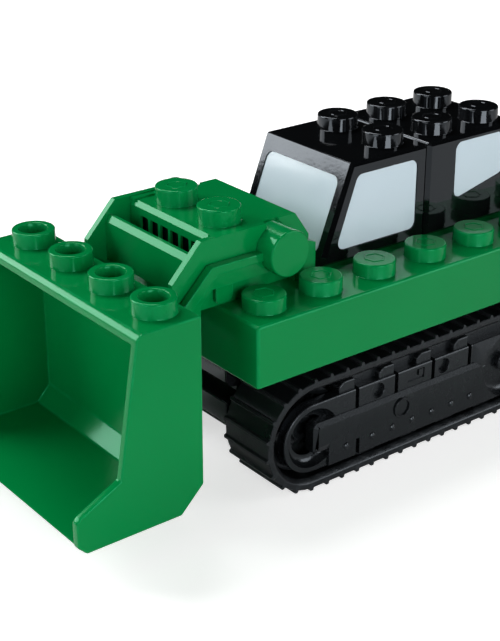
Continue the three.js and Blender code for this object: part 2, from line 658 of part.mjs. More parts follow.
placePair('loader_arm', makeArm(), GREEN);
place('bucket_hinge_pin', shaft(HINGE_PIN_RADIUS, [HINGE_Y, HINGE_Z], -ARM_PLATE_X, ARM_PLATE_X), BLACK);

// ---------------------------------------------------------------- bucket

function makeBucket() {
  const innerHalfWidth = BUCKET_HALF_WIDTH - BUCKET_SIDE;
  const scoop = cut(
    slab(BUCKET_SIDE_VIEW, -BUCKET_HALF_WIDTH, BUCKET_HALF_WIDTH),
    slab(BUCKET_ROOM, -innerHalfWidth, innerHalfWidth),
  );
  const studs = ALL_STUD_X.map((x) => stud(x, BUCKET_STUD_Y, BUCKET_TOP));
  const boreTop = BUCKET_TOP + STUD_HEIGHT;
  const bores = ALL_STUD_X.map((x) => (
    upright(HOLLOW_STUD_BORE, [x, BUCKET_STUD_Y], boreTop - HOLLOW_STUD_DEPTH, boreTop + FIT)
  ));
  // Two knuckles behind the back wall, which turn on the hinge pin.
  const knuckle = slab([
    [BUCKET_BACK - FIT, HINGE_Z + KNUCKLE_HALF_HEIGHT], [BUCKET_BACK - FIT, HINGE_Z - KNUCKLE_HALF_HEIGHT],
    ...arc([HINGE_Y, HINGE_Z], KNUCKLE_RADIUS, -60, 60, 8),
  ], KNUCKLE_INNER_X, KNUCKLE_OUTER_X);
  const pinBore = shaft(
    HINGE_PIN_RADIUS + RUNNING_GAP,
    [HINGE_Y, HINGE_Z],
    -KNUCKLE_OUTER_X - FIT,
    KNUCKLE_OUTER_X + FIT,
  );
  return cut(unite(scoop, studs, bothSides(knuckle)), bores, pinBore);
}

place('bucket', makeBucket(), GREEN);

export default toy;
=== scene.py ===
"""The looks of a toy crawler loader built from studded bricks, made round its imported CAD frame.

Shapes are drawn in millimetres, in the frame's own axes (+X to the right-hand track, -Y towards
the bucket, +Z up), and scaled to metres when each piece is finished.
"""
import json
import math

import bmesh
import bpy
from mathutils import Matrix, Vector


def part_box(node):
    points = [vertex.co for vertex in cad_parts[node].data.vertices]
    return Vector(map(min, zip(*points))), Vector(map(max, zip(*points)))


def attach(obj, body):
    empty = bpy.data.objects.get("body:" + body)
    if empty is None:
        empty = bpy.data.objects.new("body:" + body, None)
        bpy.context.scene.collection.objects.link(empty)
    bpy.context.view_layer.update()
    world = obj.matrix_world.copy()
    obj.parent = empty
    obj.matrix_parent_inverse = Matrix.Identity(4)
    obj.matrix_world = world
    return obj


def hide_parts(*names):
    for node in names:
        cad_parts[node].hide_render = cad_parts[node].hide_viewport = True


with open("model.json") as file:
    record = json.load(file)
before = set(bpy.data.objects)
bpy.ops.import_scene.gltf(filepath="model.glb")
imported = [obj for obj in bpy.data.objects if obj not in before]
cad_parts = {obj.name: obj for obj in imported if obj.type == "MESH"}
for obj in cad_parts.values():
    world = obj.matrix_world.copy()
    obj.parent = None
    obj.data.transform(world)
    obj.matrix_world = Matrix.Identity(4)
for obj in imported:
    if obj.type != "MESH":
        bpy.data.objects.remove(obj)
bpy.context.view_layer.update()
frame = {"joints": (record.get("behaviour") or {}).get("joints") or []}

MM = 0.001

# ------------------------------ sizes from the frame, in mm


def box_mm(node):
    low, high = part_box(node)
    return low / MM, high / MM


def joint_mm(name):
    """A joint's place as (y, z). Every joint turns about an axis along X."""
    joint = next(j for j in frame["joints"] if j["name"] == name)
    return joint["pos_m"][1] / MM, joint["pos_m"][2] / MM


body_low, body_high = box_mm("main_body")
bucket_low, bucket_high = box_mm("bucket")
cab_low, cab_high = box_mm("cab_front")
tail_low, tail_high = box_mm("cab_rear")
belt_low, belt_high = box_mm("track_belt_right")
hull_low = box_mm("chassis_frame")[0]
hood_high = box_mm("hood")[1]
arm_high = box_mm("loader_arm_right")[1]
PIVOT = joint_mm("arm_lift")
HINGE = joint_mm("bucket_tilt")
FRONT_HUB = joint_mm("front_wheels_spin")
REAR_HUB = joint_mm("rear_wheels_spin")

PITCH = 8.0
STUD_RADIUS = 2.45
STUD_HEIGHT = 1.75
DECK_STUD_HEIGHT = 2.0
STUD_SIDES = 48
STUD_ROOT = 0.4  # how far a stud goes into the face below it
MARK_RISE = 0.07
ROUND_SIDES = 64
PAST = 1.0  # how far a cut goes on past the surface

BODY_TOP = body_high.z - STUD_HEIGHT
BODY_BOTTOM = body_low.z
BODY_FRONT = body_low.y
BODY_REAR = body_high.y
BODY_MIDDLE = (BODY_FRONT + BODY_REAR) / 2
BODY_WALL = 1.6
SIDE_GAP = 0.1  # a brick's sides stop this short of the stud grid's cells
FIRST_ROW = BODY_FRONT + PITCH / 2 - SIDE_GAP
ROWS = 10
OPEN_ROWS = 3

CAB_TOP = cab_high.z - STUD_HEIGHT
DECK_TOP = hood_high.z - DECK_STUD_HEIGHT
BUCKET_TOP = bucket_high.z - STUD_HEIGHT
AXLE_HEIGHT = FRONT_HUB[1]


# ------------------------------ outlines

NEARLY_STRAIGHT = math.radians(178)
ARC_STEP = 22.5  # degrees
ARC_SHARE = 0.49  # how much of an edge's length one corner's arc may take
MITRE_LIMIT = 0.3  # keeps a very sharp corner from moving far


def rounded(points, radius=0.0):
    """A closed outline with its corners turned into arcs. A point's third number is its own radius."""
    result = []
    for i, point in enumerate(points):
        here = Vector(point[:2])
        own = point[2] if len(point) > 2 else radius
        to_last = Vector(points[i - 1][:2]) - here
        to_next = Vector(points[(i + 1) % len(points)][:2]) - here
        angle = to_last.angle(to_next)
        if own <= 0 or angle > NEARLY_STRAIGHT:
            result.append(here)
            continue
        shortest = min(to_last.length, to_next.length)
        reach = min(own / math.tan(angle / 2), shortest * ARC_SHARE)
        own = reach * math.tan(angle / 2)
        middle = (to_last.normalized() + to_next.normalized()).normalized()
        centre = here + middle * (own / math.sin(angle / 2))
        start = here + to_last.normalized() * reach - centre
        end = here + to_next.normalized() * reach - centre
        turn = -start.angle_signed(end)
        steps = max(2, math.ceil(abs(math.degrees(turn)) / ARC_STEP))
        for k in range(steps + 1):
            result.append(centre + Matrix.Rotation(turn * k / steps, 2) @ start)
    return [(p.x, p.y) for p in result]


def circle(centre, radius, sides=ROUND_SIDES, start=0.0, end=360.0):
    """Points round a centre, or along an arc with both its ends. Angles are in degrees."""
    closed = abs(end - start) >= 360
    count = sides if closed else sides + 1
    angles = [math.radians(start + (end - start) * k / sides) for k in range(count)]
    return [(centre[0] + radius * math.cos(a), centre[1] + radius * math.sin(a)) for a in angles]


def stadium(front, radius, sides=24):
    """An outline with round ends, one about a centre at the front and one mirrored at the rear."""
    rear = (2 * BODY_MIDDLE - front[0], front[1])
    return circle(rear, radius, sides, -90, 90) + circle(front, radius, sides, 90, 270)


def area_of(outline):
    """Positive where the outline runs anticlockwise."""
    return sum(
        a[0] * b[1] - b[0] * a[1] for a, b in zip(outline, outline[1:] + outline[:1])
    ) / 2


def inset(outline, amount):
    """The outline moved inwards by an amount, with mitred corners."""
    if amount == 0:
        return [Vector(p) for p in outline]
    moved = []
    for i, point in enumerate(outline):
        here = Vector(point)
        before = (here - Vector(outline[i - 1])).normalized()
        after = (Vector(outline[(i + 1) % len(outline)]) - here).normalized()
        first = Vector((-before.y, before.x))
        second = Vector((-after.y, after.x))
        moved.append(here + (first + second) / max(MITRE_LIMIT, 1 + first.dot(second)) * amount)
    return moved


def flipped(outline):
    """A side-view outline mirrored from front to rear."""
    return [(2 * BODY_MIDDLE - p[0], *p[1:]) for p in reversed(outline)]


def with_rear(front):
    """A side-view outline closed by the mirror image of its front half."""
    return front + flipped(front)


# ------------------------------ shells

# A shell is a closed surface as (points, faces), in mm.
AXES = {
    "x": lambda u, v, w: (w, u, v),
    "y": lambda u, v, w: (u, w, v),
    "z": lambda u, v, w: (u, v, w),
}


def prism(outline, low, high, axis="x", rims=(0, 0), steps=2):
    """An outline made solid along an axis. Each end is square, or has a rounded rim.

    A rim is one size, or two: how far it goes inwards and how far it goes along the axis.
    """
    outline = [tuple(p[:2]) for p in outline]
    if area_of(outline) < 0:
        outline = outline[::-1]
    layers = []
    for end, rim in ((low, rims[0]), (high, rims[1])):
        inward = 1 if end == low else -1
        wide, deep = rim if isinstance(rim, tuple) else (rim, rim)
        count = steps if wide > 0 else 0
        rings = []
        for k in range(count + 1):
            angle = math.pi / 2 * (k / count if count else 1)
            ring = inset(outline, wide * (1 - math.sin(angle)))
            rings.append((ring, end + inward * deep * (1 - math.cos(angle))))
        layers += rings if end == low else rings[::-1]
    place = AXES[axis]
    points = [place(p[0], p[1], at) for ring, at in layers for p in ring]
    n = len(outline)
    faces = [list(range(n))[::-1], [len(points) - n + i for i in range(n)]]
    for layer in range(len(layers) - 1):
        for i in range(n):
            j = (i + 1) % n
            faces.append([layer * n + i, layer * n + j, (layer + 1) * n + j, (layer + 1) * n + i])
    return points, faces


TWIST = 1.7  # degrees: keeps a turned shell's points off the straight edges it meets
SMALLEST_RADIUS = 0.001  # a profile point nearer the axis than this is a single point on it


def lathe(profile, centre, axis="z", sides=STUD_SIDES):
    """A profile of (radius, height) points turned about an axis through centre."""
    place = AXES[axis]
    points, faces, rings = [], [], []
    for radius, height in profile:
        if radius < SMALLEST_RADIUS:
            rings.append([len(points)])
            points.append(place(centre[0], centre[1], height))
            continue
        rings.append(list(range(len(points), len(points) + sides)))
        for u, v in circle(centre, radius, sides, TWIST, 360 + TWIST):
            points.append(place(u, v, height))
    for low, high in zip(rings, rings[1:]):
        for i in range(sides):
            j = (i + 1) % sides
            if len(low) == 1:
                faces.append([low[0], high[j], high[i]])
            elif len(high) == 1:
                faces.append([low[i], low[j], high[0]])
            else:
                faces.append([low[i], low[j], high[j], high[i]])
    if len(rings[0]) > 1:
        faces.append(rings[0][::-1])
    if len(rings[-1]) > 1:
        faces.append(rings[-1])
    return points, faces


def hoop(rings):
    """A band through equally long rings of points, from the last ring back to the first."""
    points = [p for ring in rings for p in ring]
    n = len(rings[0])
    faces = []
    for start in range(0, len(points), n):
        after = (start + n) % len(points)
        for i in range(n):
            j = (i + 1) % n
            faces.append([start + i, start + j, after + j, after + i])
    return points, faces


def ring_shell(profile, centre, sides):
    """A closed profile of (radius, x) points turned about an axis along X."""
    return hoop([[(x, u, v) for u, v in circle(centre, radius, sides)] for radius, x in profile])


def box(low, high):
    """A block between its lowest and highest corners."""
    outline = [(low[1], low[2]), (high[1], low[2]), (high[1], high[2]), (low[1], high[2])]
    return prism(outline, low[0], high[0])


def joined(*shells):
    """Several shells as one."""
    points, faces = [], []
    for shell_points, shell_faces in shells:
        start = len(points)
        points += shell_points
        faces += [[start + i for i in face] for face in shell_faces]
    return points, faces


def mirrored(shell):
    """A shell's mirror image on the object's other side."""
    points, faces = shell
    return [(-x, y, z) for x, y, z in points], [face[::-1] for face in faces]


def both(shell):
    """A shell and its mirror image."""
    return joined(shell, mirrored(shell))


def arc_profile(centre, radius, start, end, steps=3):
    """Points on an arc of a lathe profile, as (radius, height)."""
    return circle(centre, radius, steps, start, end)


def rod(radius, low, high, centre, rim=0.2, sides=ROUND_SIDES):
    """A round bar along X with rounded ends."""
    profile = arc_profile((radius - rim, low + rim), rim, -90, 0)
    profile += arc_profile((radius - rim, high - rim), rim, 0, 90)
    return lathe(profile, centre, "x", sides)


# ------------------------------ studs

STUD_FILLET = 0.07
FILLET_START = 262  # degrees: just past the fillet's foot, which would be level with the face
STUD_RIM = 0.2
MARK_TURN = 15  # degrees


def stud(x, y, face, height=STUD_HEIGHT):
    """A stud with a small fillet at its foot and a rounded rim."""
    foot, rim = STUD_RADIUS + STUD_FILLET, STUD_RADIUS - STUD_RIM
    profile = [(foot, face - STUD_ROOT), (foot, face - 0.01)]
    profile += arc_profile((foot, face + STUD_FILLET), STUD_FILLET, FILLET_START, 180, 2)
    profile += arc_profile((rim, face + height - STUD_RIM), STUD_RIM, 0, 90)
    return lathe(profile, (x, y), "z")


def stud_mark(x, y, top):
    """A raised six-sided ring on a stud's top, a plain moulding mark."""
    outer, inner, foot = 1.3, 1.08, top - 0.06
    crest = top + MARK_RISE
    shoulder = crest - 0.04
    rings = []
    for radius, height in (
        (inner, foot), (outer, foot), (outer, shoulder), (outer - 0.05, crest), (inner + 0.05, crest),
        (inner, shoulder),
    ):
        outline = circle((x, y), radius, 6, MARK_TURN, 360 + MARK_TURN)
        rings.append([(px, py, height) for px, py in outline])
    return hoop(rings)


def studs_and_marks(places, face, height=STUD_HEIGHT):
    """Studs on a face and the marks on their tops, which together are as high as asked."""
    bare = height - MARK_RISE
    studs = joined(*[stud(x, y, face, bare) for x, y in places])
    marks = joined(*[stud_mark(x, y, face + bare) for x, y in places])
    return studs, marks


def row_y(row):
    """The place of a row of studs on the body, counted from the front."""
    return FIRST_ROW + row * PITCH


# ------------------------------ pieces

EDGE_WIDTH = 0.34 * MM
EDGE_LENGTH = 2.5  # an edge face is at least this many times as long as it is wide
SMALLEST_LENGTH = 1e-9
SOFT_SEGMENTS = 2
SOFT_ANGLE = math.radians(30)
SMOOTH_ANGLE = 40  # degrees: a sharper edge is shaded as an edge
PIN_SIDES = 40


def object_of(shell, name):
    points, faces = shell
    mesh = bpy.data.meshes.new(name)
    mesh.from_pydata(points, [], faces)
    work = bmesh.new()
    work.from_mesh(mesh)
    bmesh.ops.recalc_face_normals(work, faces=work.faces)
    work.to_mesh(mesh)
    work.free()
    obj = bpy.data.objects.new(name, mesh)
    bpy.context.scene.collection.objects.link(obj)
    return obj


def settle(obj):
    """Turns an object's modifiers into its mesh."""
    graph = bpy.context.evaluated_depsgraph_get()
    mesh = bpy.data.meshes.new_from_object(obj.evaluated_get(graph))
    old = obj.data
    obj.modifiers.clear()
    obj.data = mesh
    bpy.data.meshes.remove(old)


def combine(obj, operation, shell):
    """Adds a shell to an object, or cuts it out."""
    tool = object_of(shell, "tool")
    modifier = obj.modifiers.new("combine", "BOOLEAN")
    modifier.operation = operation
    modifier.solver = "MANIFOLD"
    modifier.object = tool
    settle(obj)
    bpy.data.objects.remove(tool)


def soften(obj, width):
    """Rounds every edge that is sharper than an angle."""
    modifier = obj.modifiers.new("soften", "BEVEL")
    modifier.width = width
    modifier.segments = SOFT_SEGMENTS
    modifier.limit_method = "ANGLE"
    modifier.angle_limit = SOFT_ANGLE
    modifier.use_clamp_overlap = True
    settle(obj)


def mark_edges(mesh):
    """Stores 1 on the narrow faces that round an edge, for the wear there, and 0 on the others."""
    attribute = mesh.attributes.new("edge_face", "FLOAT", "FACE")
    values = []
    for polygon in mesh.polygons:
        lengths = [
            (mesh.vertices[a].co - mesh.vertices[b].co).length for a, b in polygon.edge_keys
        ]
        longest = max(max(lengths), SMALLEST_LENGTH)
        width = polygon.area / longest
        values.append(1.0 if width < EDGE_WIDTH and longest > EDGE_LENGTH * width else 0.0)
    attribute.data.foreach_set("value", values)


def piece(name, body, slot, nodes, base, steps=(), smooth=SMOOTH_ANGLE):
    """Builds a piece from a base shell and steps, and puts it in place of CAD nodes.

    Each step is ("add", shell), ("cut", shell) or ("soften", width).
    """
    obj = object_of(base, name)
    for kind, value in steps:
        if kind == "soften":
            soften(obj, value)
        else:
            combine(obj, {"add": "UNION", "cut": "DIFFERENCE"}[kind], value)
    mesh = obj.data
    mesh.transform(Matrix.Scale(MM, 4))
    mesh.shade_smooth()
    mesh.set_sharp_from_angle(angle=math.radians(smooth))
    modifier = obj.modifiers.new("normals", "WEIGHTED_NORMAL")
    modifier.keep_sharp = True
    settle(obj)
    obj.data.name = name
    mark_edges(obj.data)
    obj.data.materials.clear()
    obj.data.materials.append(MATERIALS[slot])
    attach(obj, body)
    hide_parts(*nodes)


def piece_pair(name, body, slot, node, base, steps=(), smooth=SMOOTH_ANGLE):
    """A piece on the right-hand side and its mirror image on the left. SIDE stands for the side."""
    for side, turn in (("right", lambda shell: shell), ("left", mirrored)):
        piece(
            name.replace("SIDE", side), body, slot, [node.replace("SIDE", side)], turn(base),
            [(kind, turn(shell)) for kind, shell in steps], smooth,
        )


def make_pin(name, body, node, radius, centre, rim):
    """A pin along X, as long as its CAD node."""
    low, high = box_mm(node)
    piece(name, body, "black_plastic", [node], rod(radius, low.x, high.x, centre, rim, PIN_SIDES))


# ------------------------------ materials

# A mix node's colour sockets go by number, because its other kinds of socket share their names.
MIX_FIRST, MIX_SECOND, MIX_RESULT = 6, 7, 2
DRIFT_SCALE = 55  # patches a metre, as for every scale here
SMEAR_SCALE = 260
SCRATCH_SCALE = 900
CROSS_SCALE = 800
SCRATCH_TURN = (0.3, 0.5, 0.9)  # radians
SCRATCH_DEPTH = 0.15  # as a share of the grain's
GRAIN_HEIGHT = 0.04 * MM


def noise(tree, where, scale, detail, stretch=None):
    """Noise over a surface, drawn out along turned axes where it is stretched."""
    node = tree.nodes.new("ShaderNodeTexNoise")
    node.inputs["Scale"].default_value = scale
    node.inputs["Detail"].default_value = detail
    if stretch:
        mapping = tree.nodes.new("ShaderNodeMapping")
        mapping.inputs["Scale"].default_value = stretch
        mapping.inputs["Rotation"].default_value = SCRATCH_TURN
        tree.links.new(where, mapping.inputs["Vector"])
        where = mapping.outputs["Vector"]
    tree.links.new(where, node.inputs["Vector"])
    return node.outputs["Fac"]


def spread(tree, value, source, target):
    """Maps a value from one range to another."""
    node = tree.nodes.new("ShaderNodeMapRange")
    for socket, bound in zip(("From Min", "From Max", "To Min", "To Max"), (*source, *target)):
        node.inputs[socket].default_value = bound
    tree.links.new(value, node.inputs["Value"])
    return node.outputs["Result"]


def mixed(tree, share, first, second):
    """Two colours, each a tuple or a socket, mixed by a share."""
    node = tree.nodes.new("ShaderNodeMix")
    node.data_type = "RGBA"
    tree.links.new(share, node.inputs["Factor"])
    for socket, colour in ((MIX_FIRST, first), (MIX_SECOND, second)):
        if isinstance(colour, tuple):
            node.inputs[socket].default_value = (*colour, 1)
        else:
            tree.links.new(colour, node.inputs[socket])
    return node.outputs[MIX_RESULT]


def calculated(tree, operation, *values):
    """The result of a math node, whose values are numbers or sockets."""
    node = tree.nodes.new("ShaderNodeMath")
    node.operation = operation
    for i, value in enumerate(values):
        if isinstance(value, float):
            node.inputs[i].default_value = value
        else:
            tree.links.new(value, node.inputs[i])
    return node.outputs["Value"]


def plastic(name, dark, light, worn, rough, grain, grain_scale, scratch, tint=(1, 1, 1)):
    """Moulded plastic: slow colour drift, uneven gloss, fine scratches, and slightly worn edges.

    It drifts from dark to light, and its edges go towards worn. Rough is its range of roughness,
    scratch is how much rougher a scratch is, and grain is how strongly its fine grain shows.
    """
    material = bpy.data.materials.new(name)
    material.use_nodes = True
    tree = material.node_tree
    shader = tree.nodes["Principled BSDF"]
    where = tree.nodes.new("ShaderNodeTexCoord").outputs["Object"]
    drift = noise(tree, where, DRIFT_SCALE, 2)
    smear = noise(tree, where, SMEAR_SCALE, 4)
    scratches = noise(tree, where, SCRATCH_SCALE, 2, (1, 14, 1))
    cross_scratches = noise(tree, where, CROSS_SCALE, 2, (13, 1, 2))
    fine_grain = noise(tree, where, grain_scale, 2)

    colour = mixed(tree, spread(tree, drift, (0.3, 0.7), (0, 1)), dark, light)
    edge = tree.nodes.new("ShaderNodeAttribute")
    edge.attribute_name = "edge_face"
    patches = spread(tree, smear, (0.42, 0.66), (0.1, 0.75))
    wear = calculated(tree, "MULTIPLY", edge.outputs["Fac"], patches)
    tree.links.new(mixed(tree, wear, colour, worn), shader.inputs["Base Color"])

    scored = calculated(
        tree, "MAXIMUM", spread(tree, scratches, (0.66, 0.74), (0, 1)),
        spread(tree, cross_scratches, (0.67, 0.75), (0, 1)),
    )
    gloss = spread(tree, smear, (0.35, 0.7), rough)
    roughness = calculated(tree, "MULTIPLY_ADD", scored, scratch, gloss)
    tree.links.new(roughness, shader.inputs["Roughness"])

    bump = tree.nodes.new("ShaderNodeBump")
    bump.inputs["Strength"].default_value = grain
    bump.inputs["Distance"].default_value = GRAIN_HEIGHT
    height = calculated(tree, "MULTIPLY_ADD", scored, -SCRATCH_DEPTH, fine_grain)
    tree.links.new(height, bump.inputs["Height"])
    tree.links.new(bump.outputs["Normal"], shader.inputs["Normal"])
    shader.inputs["IOR"].default_value = 1.5
    shader.inputs["Specular Tint"].default_value = (*tint, 1)
    return material


GREEN_TINT = (0.12, 0.70, 0.42)
COOL_TINT = (0.8, 0.9, 1.0)
LOOKS = {
    "green_plastic": dict(
        dark=(0.0002, 0.190, 0.043), light=(0.0004, 0.210, 0.048), worn=(0.002, 0.25, 0.07),
        rough=(0.09, 0.18), grain=0.10, grain_scale=2600, scratch=0.05, tint=GREEN_TINT,
    ),
    "black_plastic": dict(
        dark=(0.0022, 0.0026, 0.0030), light=(0.0032, 0.0037, 0.0042), worn=(0.012, 0.013, 0.015),
        rough=(0.04, 0.10), grain=0.08, grain_scale=2600, scratch=0.06, tint=COOL_TINT,
    ),
    "track_plastic": dict(
        dark=(0.0030, 0.0038, 0.0044), light=(0.0046, 0.0056, 0.0064), worn=(0.018, 0.020, 0.022),
        rough=(0.18, 0.32), grain=0.35, grain_scale=3400, scratch=0.12, tint=COOL_TINT,
    ),
    "track_belt": dict(
        dark=(0.0028, 0.0034, 0.0040), light=(0.0044, 0.0053, 0.0060), worn=(0.016, 0.018, 0.020),
        rough=(0.26, 0.42), grain=0.50, grain_scale=4200, scratch=0.10, tint=COOL_TINT,
    ),
    "window_print": dict(
        dark=(0.52, 0.63, 0.70), light=(0.56, 0.67, 0.74), worn=(0.62, 0.72, 0.78),
        rough=(0.06, 0.13), grain=0.05, grain_scale=1800, scratch=0.06,
    ),
}
MATERIALS = {name: plastic(name, **look) for name, look in LOOKS.items()}

# ------------------------------ body and chassis

OUTER_COLUMNS = (-1.5 * PITCH, 1.5 * PITCH)
INNER_COLUMNS = (-0.5 * PITCH, 0.5 * PITCH)
ALL_COLUMNS = OUTER_COLUMNS + INNER_COLUMNS
BODY_RIM = 0.34

HULL_HALF = 7.7
HULL_FOOT = 4.2
PLUG_GAP = 0.3
POCKET_HALF = 3.1  # half the side of a pocket in the hull's underside, and where it starts in X
POCKET_OUTER = 6.6
POCKET_TOP = 4.8
HOLE_RADIUS = 2.35
HOLE_TOP = 4.9


def make_body():
    """One brick, hollow below, with studs along its sides and all over its rear."""
    half = body_high.x
    low_edge = [(BODY_FRONT, BODY_BOTTOM), (BODY_REAR, BODY_BOTTOM)]
    outline = rounded(low_edge + [(BODY_REAR, BODY_TOP), (BODY_FRONT, BODY_TOP)], BODY_RIM)
    shell = prism(outline, -half, half, rims=(BODY_RIM, BODY_RIM), steps=3)
    room = box(
        (-half + BODY_WALL, BODY_FRONT + BODY_WALL, BODY_BOTTOM - PAST),
        (half - BODY_WALL, BODY_REAR - BODY_WALL, BODY_TOP - BODY_WALL),
    )
    places = [
        (x, row_y(row))
        for row in range(ROWS)
        for x in (ALL_COLUMNS if row >= ROWS - OPEN_ROWS else OUTER_COLUMNS)
    ]
    studs, marks = studs_and_marks(places, BODY_TOP)
    piece(
        "body_brick", "chassis", "green_plastic", ["main_body"], shell,
        [("cut", room), ("add", studs), ("add", marks)],
    )


def make_hull():
    """The undercarriage: a plug in the body's underside and a hull with a ledge and a bar at each end."""
    nose = hull_low.y
    edge = BODY_WALL + PLUG_GAP
    plug = box(
        (-(body_high.x - edge), BODY_FRONT + edge, BODY_BOTTOM - PLUG_GAP),
        (body_high.x - edge, BODY_REAR - edge, BODY_TOP - edge),
    )
    outline = rounded(with_rear([
        (nose, BODY_BOTTOM, 0.1), (nose, 12.45, 0.1), (nose + 0.85, 11.6, 0.1), (nose + 1.6, 11.5),
        (nose + 1.6, 9.85), (nose + 0.1, 9.8, 0.2), (nose, 7.3, 0.25), (nose + 3.0, HULL_FOOT, 0.3),
    ]))
    hull = prism(outline, -HULL_HALF, HULL_HALF, rims=(0.2, 0.2))
    pockets = []
    for row in range(1, ROWS):
        y = row_y(row) - PITCH / 2
        hole = [(HOLE_RADIUS, HULL_FOOT - PAST), (HOLE_RADIUS, HOLE_TOP)]
        pockets.append(lathe(hole, (0, y), "z", 32))
        pockets.append(both(box(
            (POCKET_HALF, y - POCKET_HALF, HULL_FOOT - PAST),
            (POCKET_OUTER, y + POCKET_HALF, POCKET_TOP),
        )))
    piece(
        "chassis_hull", "chassis", "black_plastic", ["chassis_frame"], hull,
        [("add", plug), ("cut", joined(*pockets))],
    )


make_body()
make_hull()

# ------------------------------ track belts

RIB_COUNT = 73
BELT_RADIUS = 6.72  # where the ribs stand on the belt
BELT_INNER_RADIUS = 5.8
BEAD_RADIUS = 5.5  # the rounded bead inside the belt's outer edge
BEAD_EDGE = 6.1
STRAIGHT = REAR_HUB[0] - FRONT_HUB[0]
TURN = math.pi * BELT_RADIUS
LOOP = 2 * (STRAIGHT + TURN)


def loop_point(distance, radius):
    """A point at a radius above the belt's path, a distance along it from the front wheel's top."""
    s = distance % LOOP
    if s < STRAIGHT:
        return FRONT_HUB[0] + s, AXLE_HEIGHT + radius
    if s < STRAIGHT + TURN:
        angle = math.pi / 2 - (s - STRAIGHT) / BELT_RADIUS
        return REAR_HUB[0] + radius * math.cos(angle), AXLE_HEIGHT + radius * math.sin(angle)
    if s < 2 * STRAIGHT + TURN:
        return REAR_HUB[0] - (s - STRAIGHT - TURN), AXLE_HEIGHT - radius
    angle = -math.pi / 2 - (s - 2 * STRAIGHT - TURN) / BELT_RADIUS
    return FRONT_HUB[0] + radius * math.cos(angle), AXLE_HEIGHT + radius * math.sin(angle)


def belt_section(top):
    """The belt's section as (x, radius), with the bead inside its outer edge."""
    left, right, low = belt_low.x, belt_high.x, BELT_INNER_RADIUS
    return [
        (left + 0.12, low), (left, low + 0.12), (left, top - 0.08), (left + 0.08, top),
        (right - 0.08, top), (right, top - 0.08), (right, BEAD_EDGE), (right - 0.03, BEAD_EDGE - 0.1),
        (right - 0.1, BEAD_EDGE - 0.18), (right - 0.45, BEAD_RADIUS + 0.07), (right - 0.6, BEAD_RADIUS),
        (right - 0.7, BEAD_RADIUS + 0.02), (right - 0.8, low),
    ]


def belt_shell():
    """A closed band with ribs across its whole width, swept round the wheels."""
    rise = AXLE_HEIGHT - BELT_RADIUS
    pitch = LOOP / RIB_COUNT
    # half a rib, as (distance along the belt from its middle, height)
    rib_side = [(0.13, rise), (0.20, 0.75 * rise), (0.24, 0.07), (0.36, 0.0)]
    rib = [(-along, height) for along, height in reversed(rib_side)] + rib_side + [(pitch / 2, 0.0)]
    rings = []
    for k in range(RIB_COUNT):
        for along, height in rib:
            section = belt_section(BELT_RADIUS + height)
            rings.append([(x, *loop_point(k * pitch + along, radius)) for x, radius in section])
    return hoop(rings)


# ------------------------------ track frames

FRAME_CENTRE = (FRONT_HUB[0] + 0.3, 6.4)  # the front window's middle, a little below the wheel's
FRAME_RADIUS = 4.3
FRAME_TOP = FRAME_CENTRE[1] + FRAME_RADIUS
FRAME_FOOT = FRAME_CENTRE[1] - FRAME_RADIUS
FRAME_SMOOTH = 14  # degrees: the beam's wide chamfers keep their edges
WINDOW_RADIUS = 3.55
WINDOW_FLOOR_RADIUS = 2.5
MIDDLE_RADIUS = 4.2
MIDDLE_FLOOR_RADIUS = 3.2
BEAM_OUTER = 15.62
BEAM_LOW, BEAM_TOP = 4.45, 8.2
BEAM_FRONT = -20.1
BEAM_STEP = 7.5  # where the beam ends, before the frame's middle
PLATE_OUTER = 15.3
PLATE_INNER = 14.0
CORE_REACH = 5.7  # from a wheel's centre to the frame's solid core
CORE_HALF = 5.1
BLOCK_FRONT = -17.8
BLOCK_TOP = 7.4
CROWN_FRONT = 5.3
SLOT_ROWS = (-13.45, -7.35, -1.4, 4.75)
SLOT_HALF = 0.28
SLOT_FLOOR = 14.5
LOW_SLOT_TOP = 4.35
ROUND_RECESS_ROWS = (-10.2, 0.35)
ROUND_RECESS_HEIGHT = 9.36
LUG_INNER, LUG_OUTER = 13.2, 15.0
LUG_TOP = 11.95
LUG_WIDTH = 2.5
LOW_LUG_ROWS = (-13.4, -6.6, -0.6, 5.8)
LOW_LUG_FOOT = 1.5
LOW_LUG_WIDTH = 3.4
DOT_ROWS = (-15.2, -11.2, -8.0, -4.8, -1.6, 1.7, 4.9)
DOT_HEIGHT = 3.92
DOT_RADIUS = 0.55
DOT_FOOT = 15.33
EMBLEM_PLACE = (-6.57, 6.14)


def at_both_ends(make, row):
    """A shell made at a row of the frame's front half, and again in its rear half."""
    return joined(make(row), make(2 * BODY_MIDDLE - row))


def turned(profile, row, height, sides=STUD_SIDES):
    """A profile turned about an axis along X, at both ends."""
    return at_both_ends(lambda y: lathe(profile, (y, height), "x", sides), row)


def plate_cut(row, half, low, high, floor):
    """A rectangular cut into the plate from outside, at both ends."""
    outer = PLATE_OUTER + PAST
    return at_both_ends(lambda y: box((floor, y - half, low), (outer, y + half, high)), row)


def raised(outline, low, high, rims, steps=2):
    """An outline of the front half and its mirror image, made solid along X."""
    return joined(
        prism(outline, low, high, rims=rims, steps=steps),
        prism(flipped(outline), low, high, rims=rims, steps=steps),
    )


def dish(floor, floor_radius, rim, rim_radius, steps=8):
    """A lathe profile that curves from a recess's floor out to its rim."""
    profile = []
    for k in range(steps + 1):
        angle = math.pi / 2 * k / steps
        profile.append((
            floor_radius + (rim_radius - floor_radius) * math.sin(angle),
            floor + (rim - floor) * (1 - math.cos(angle)),
        ))
    return profile


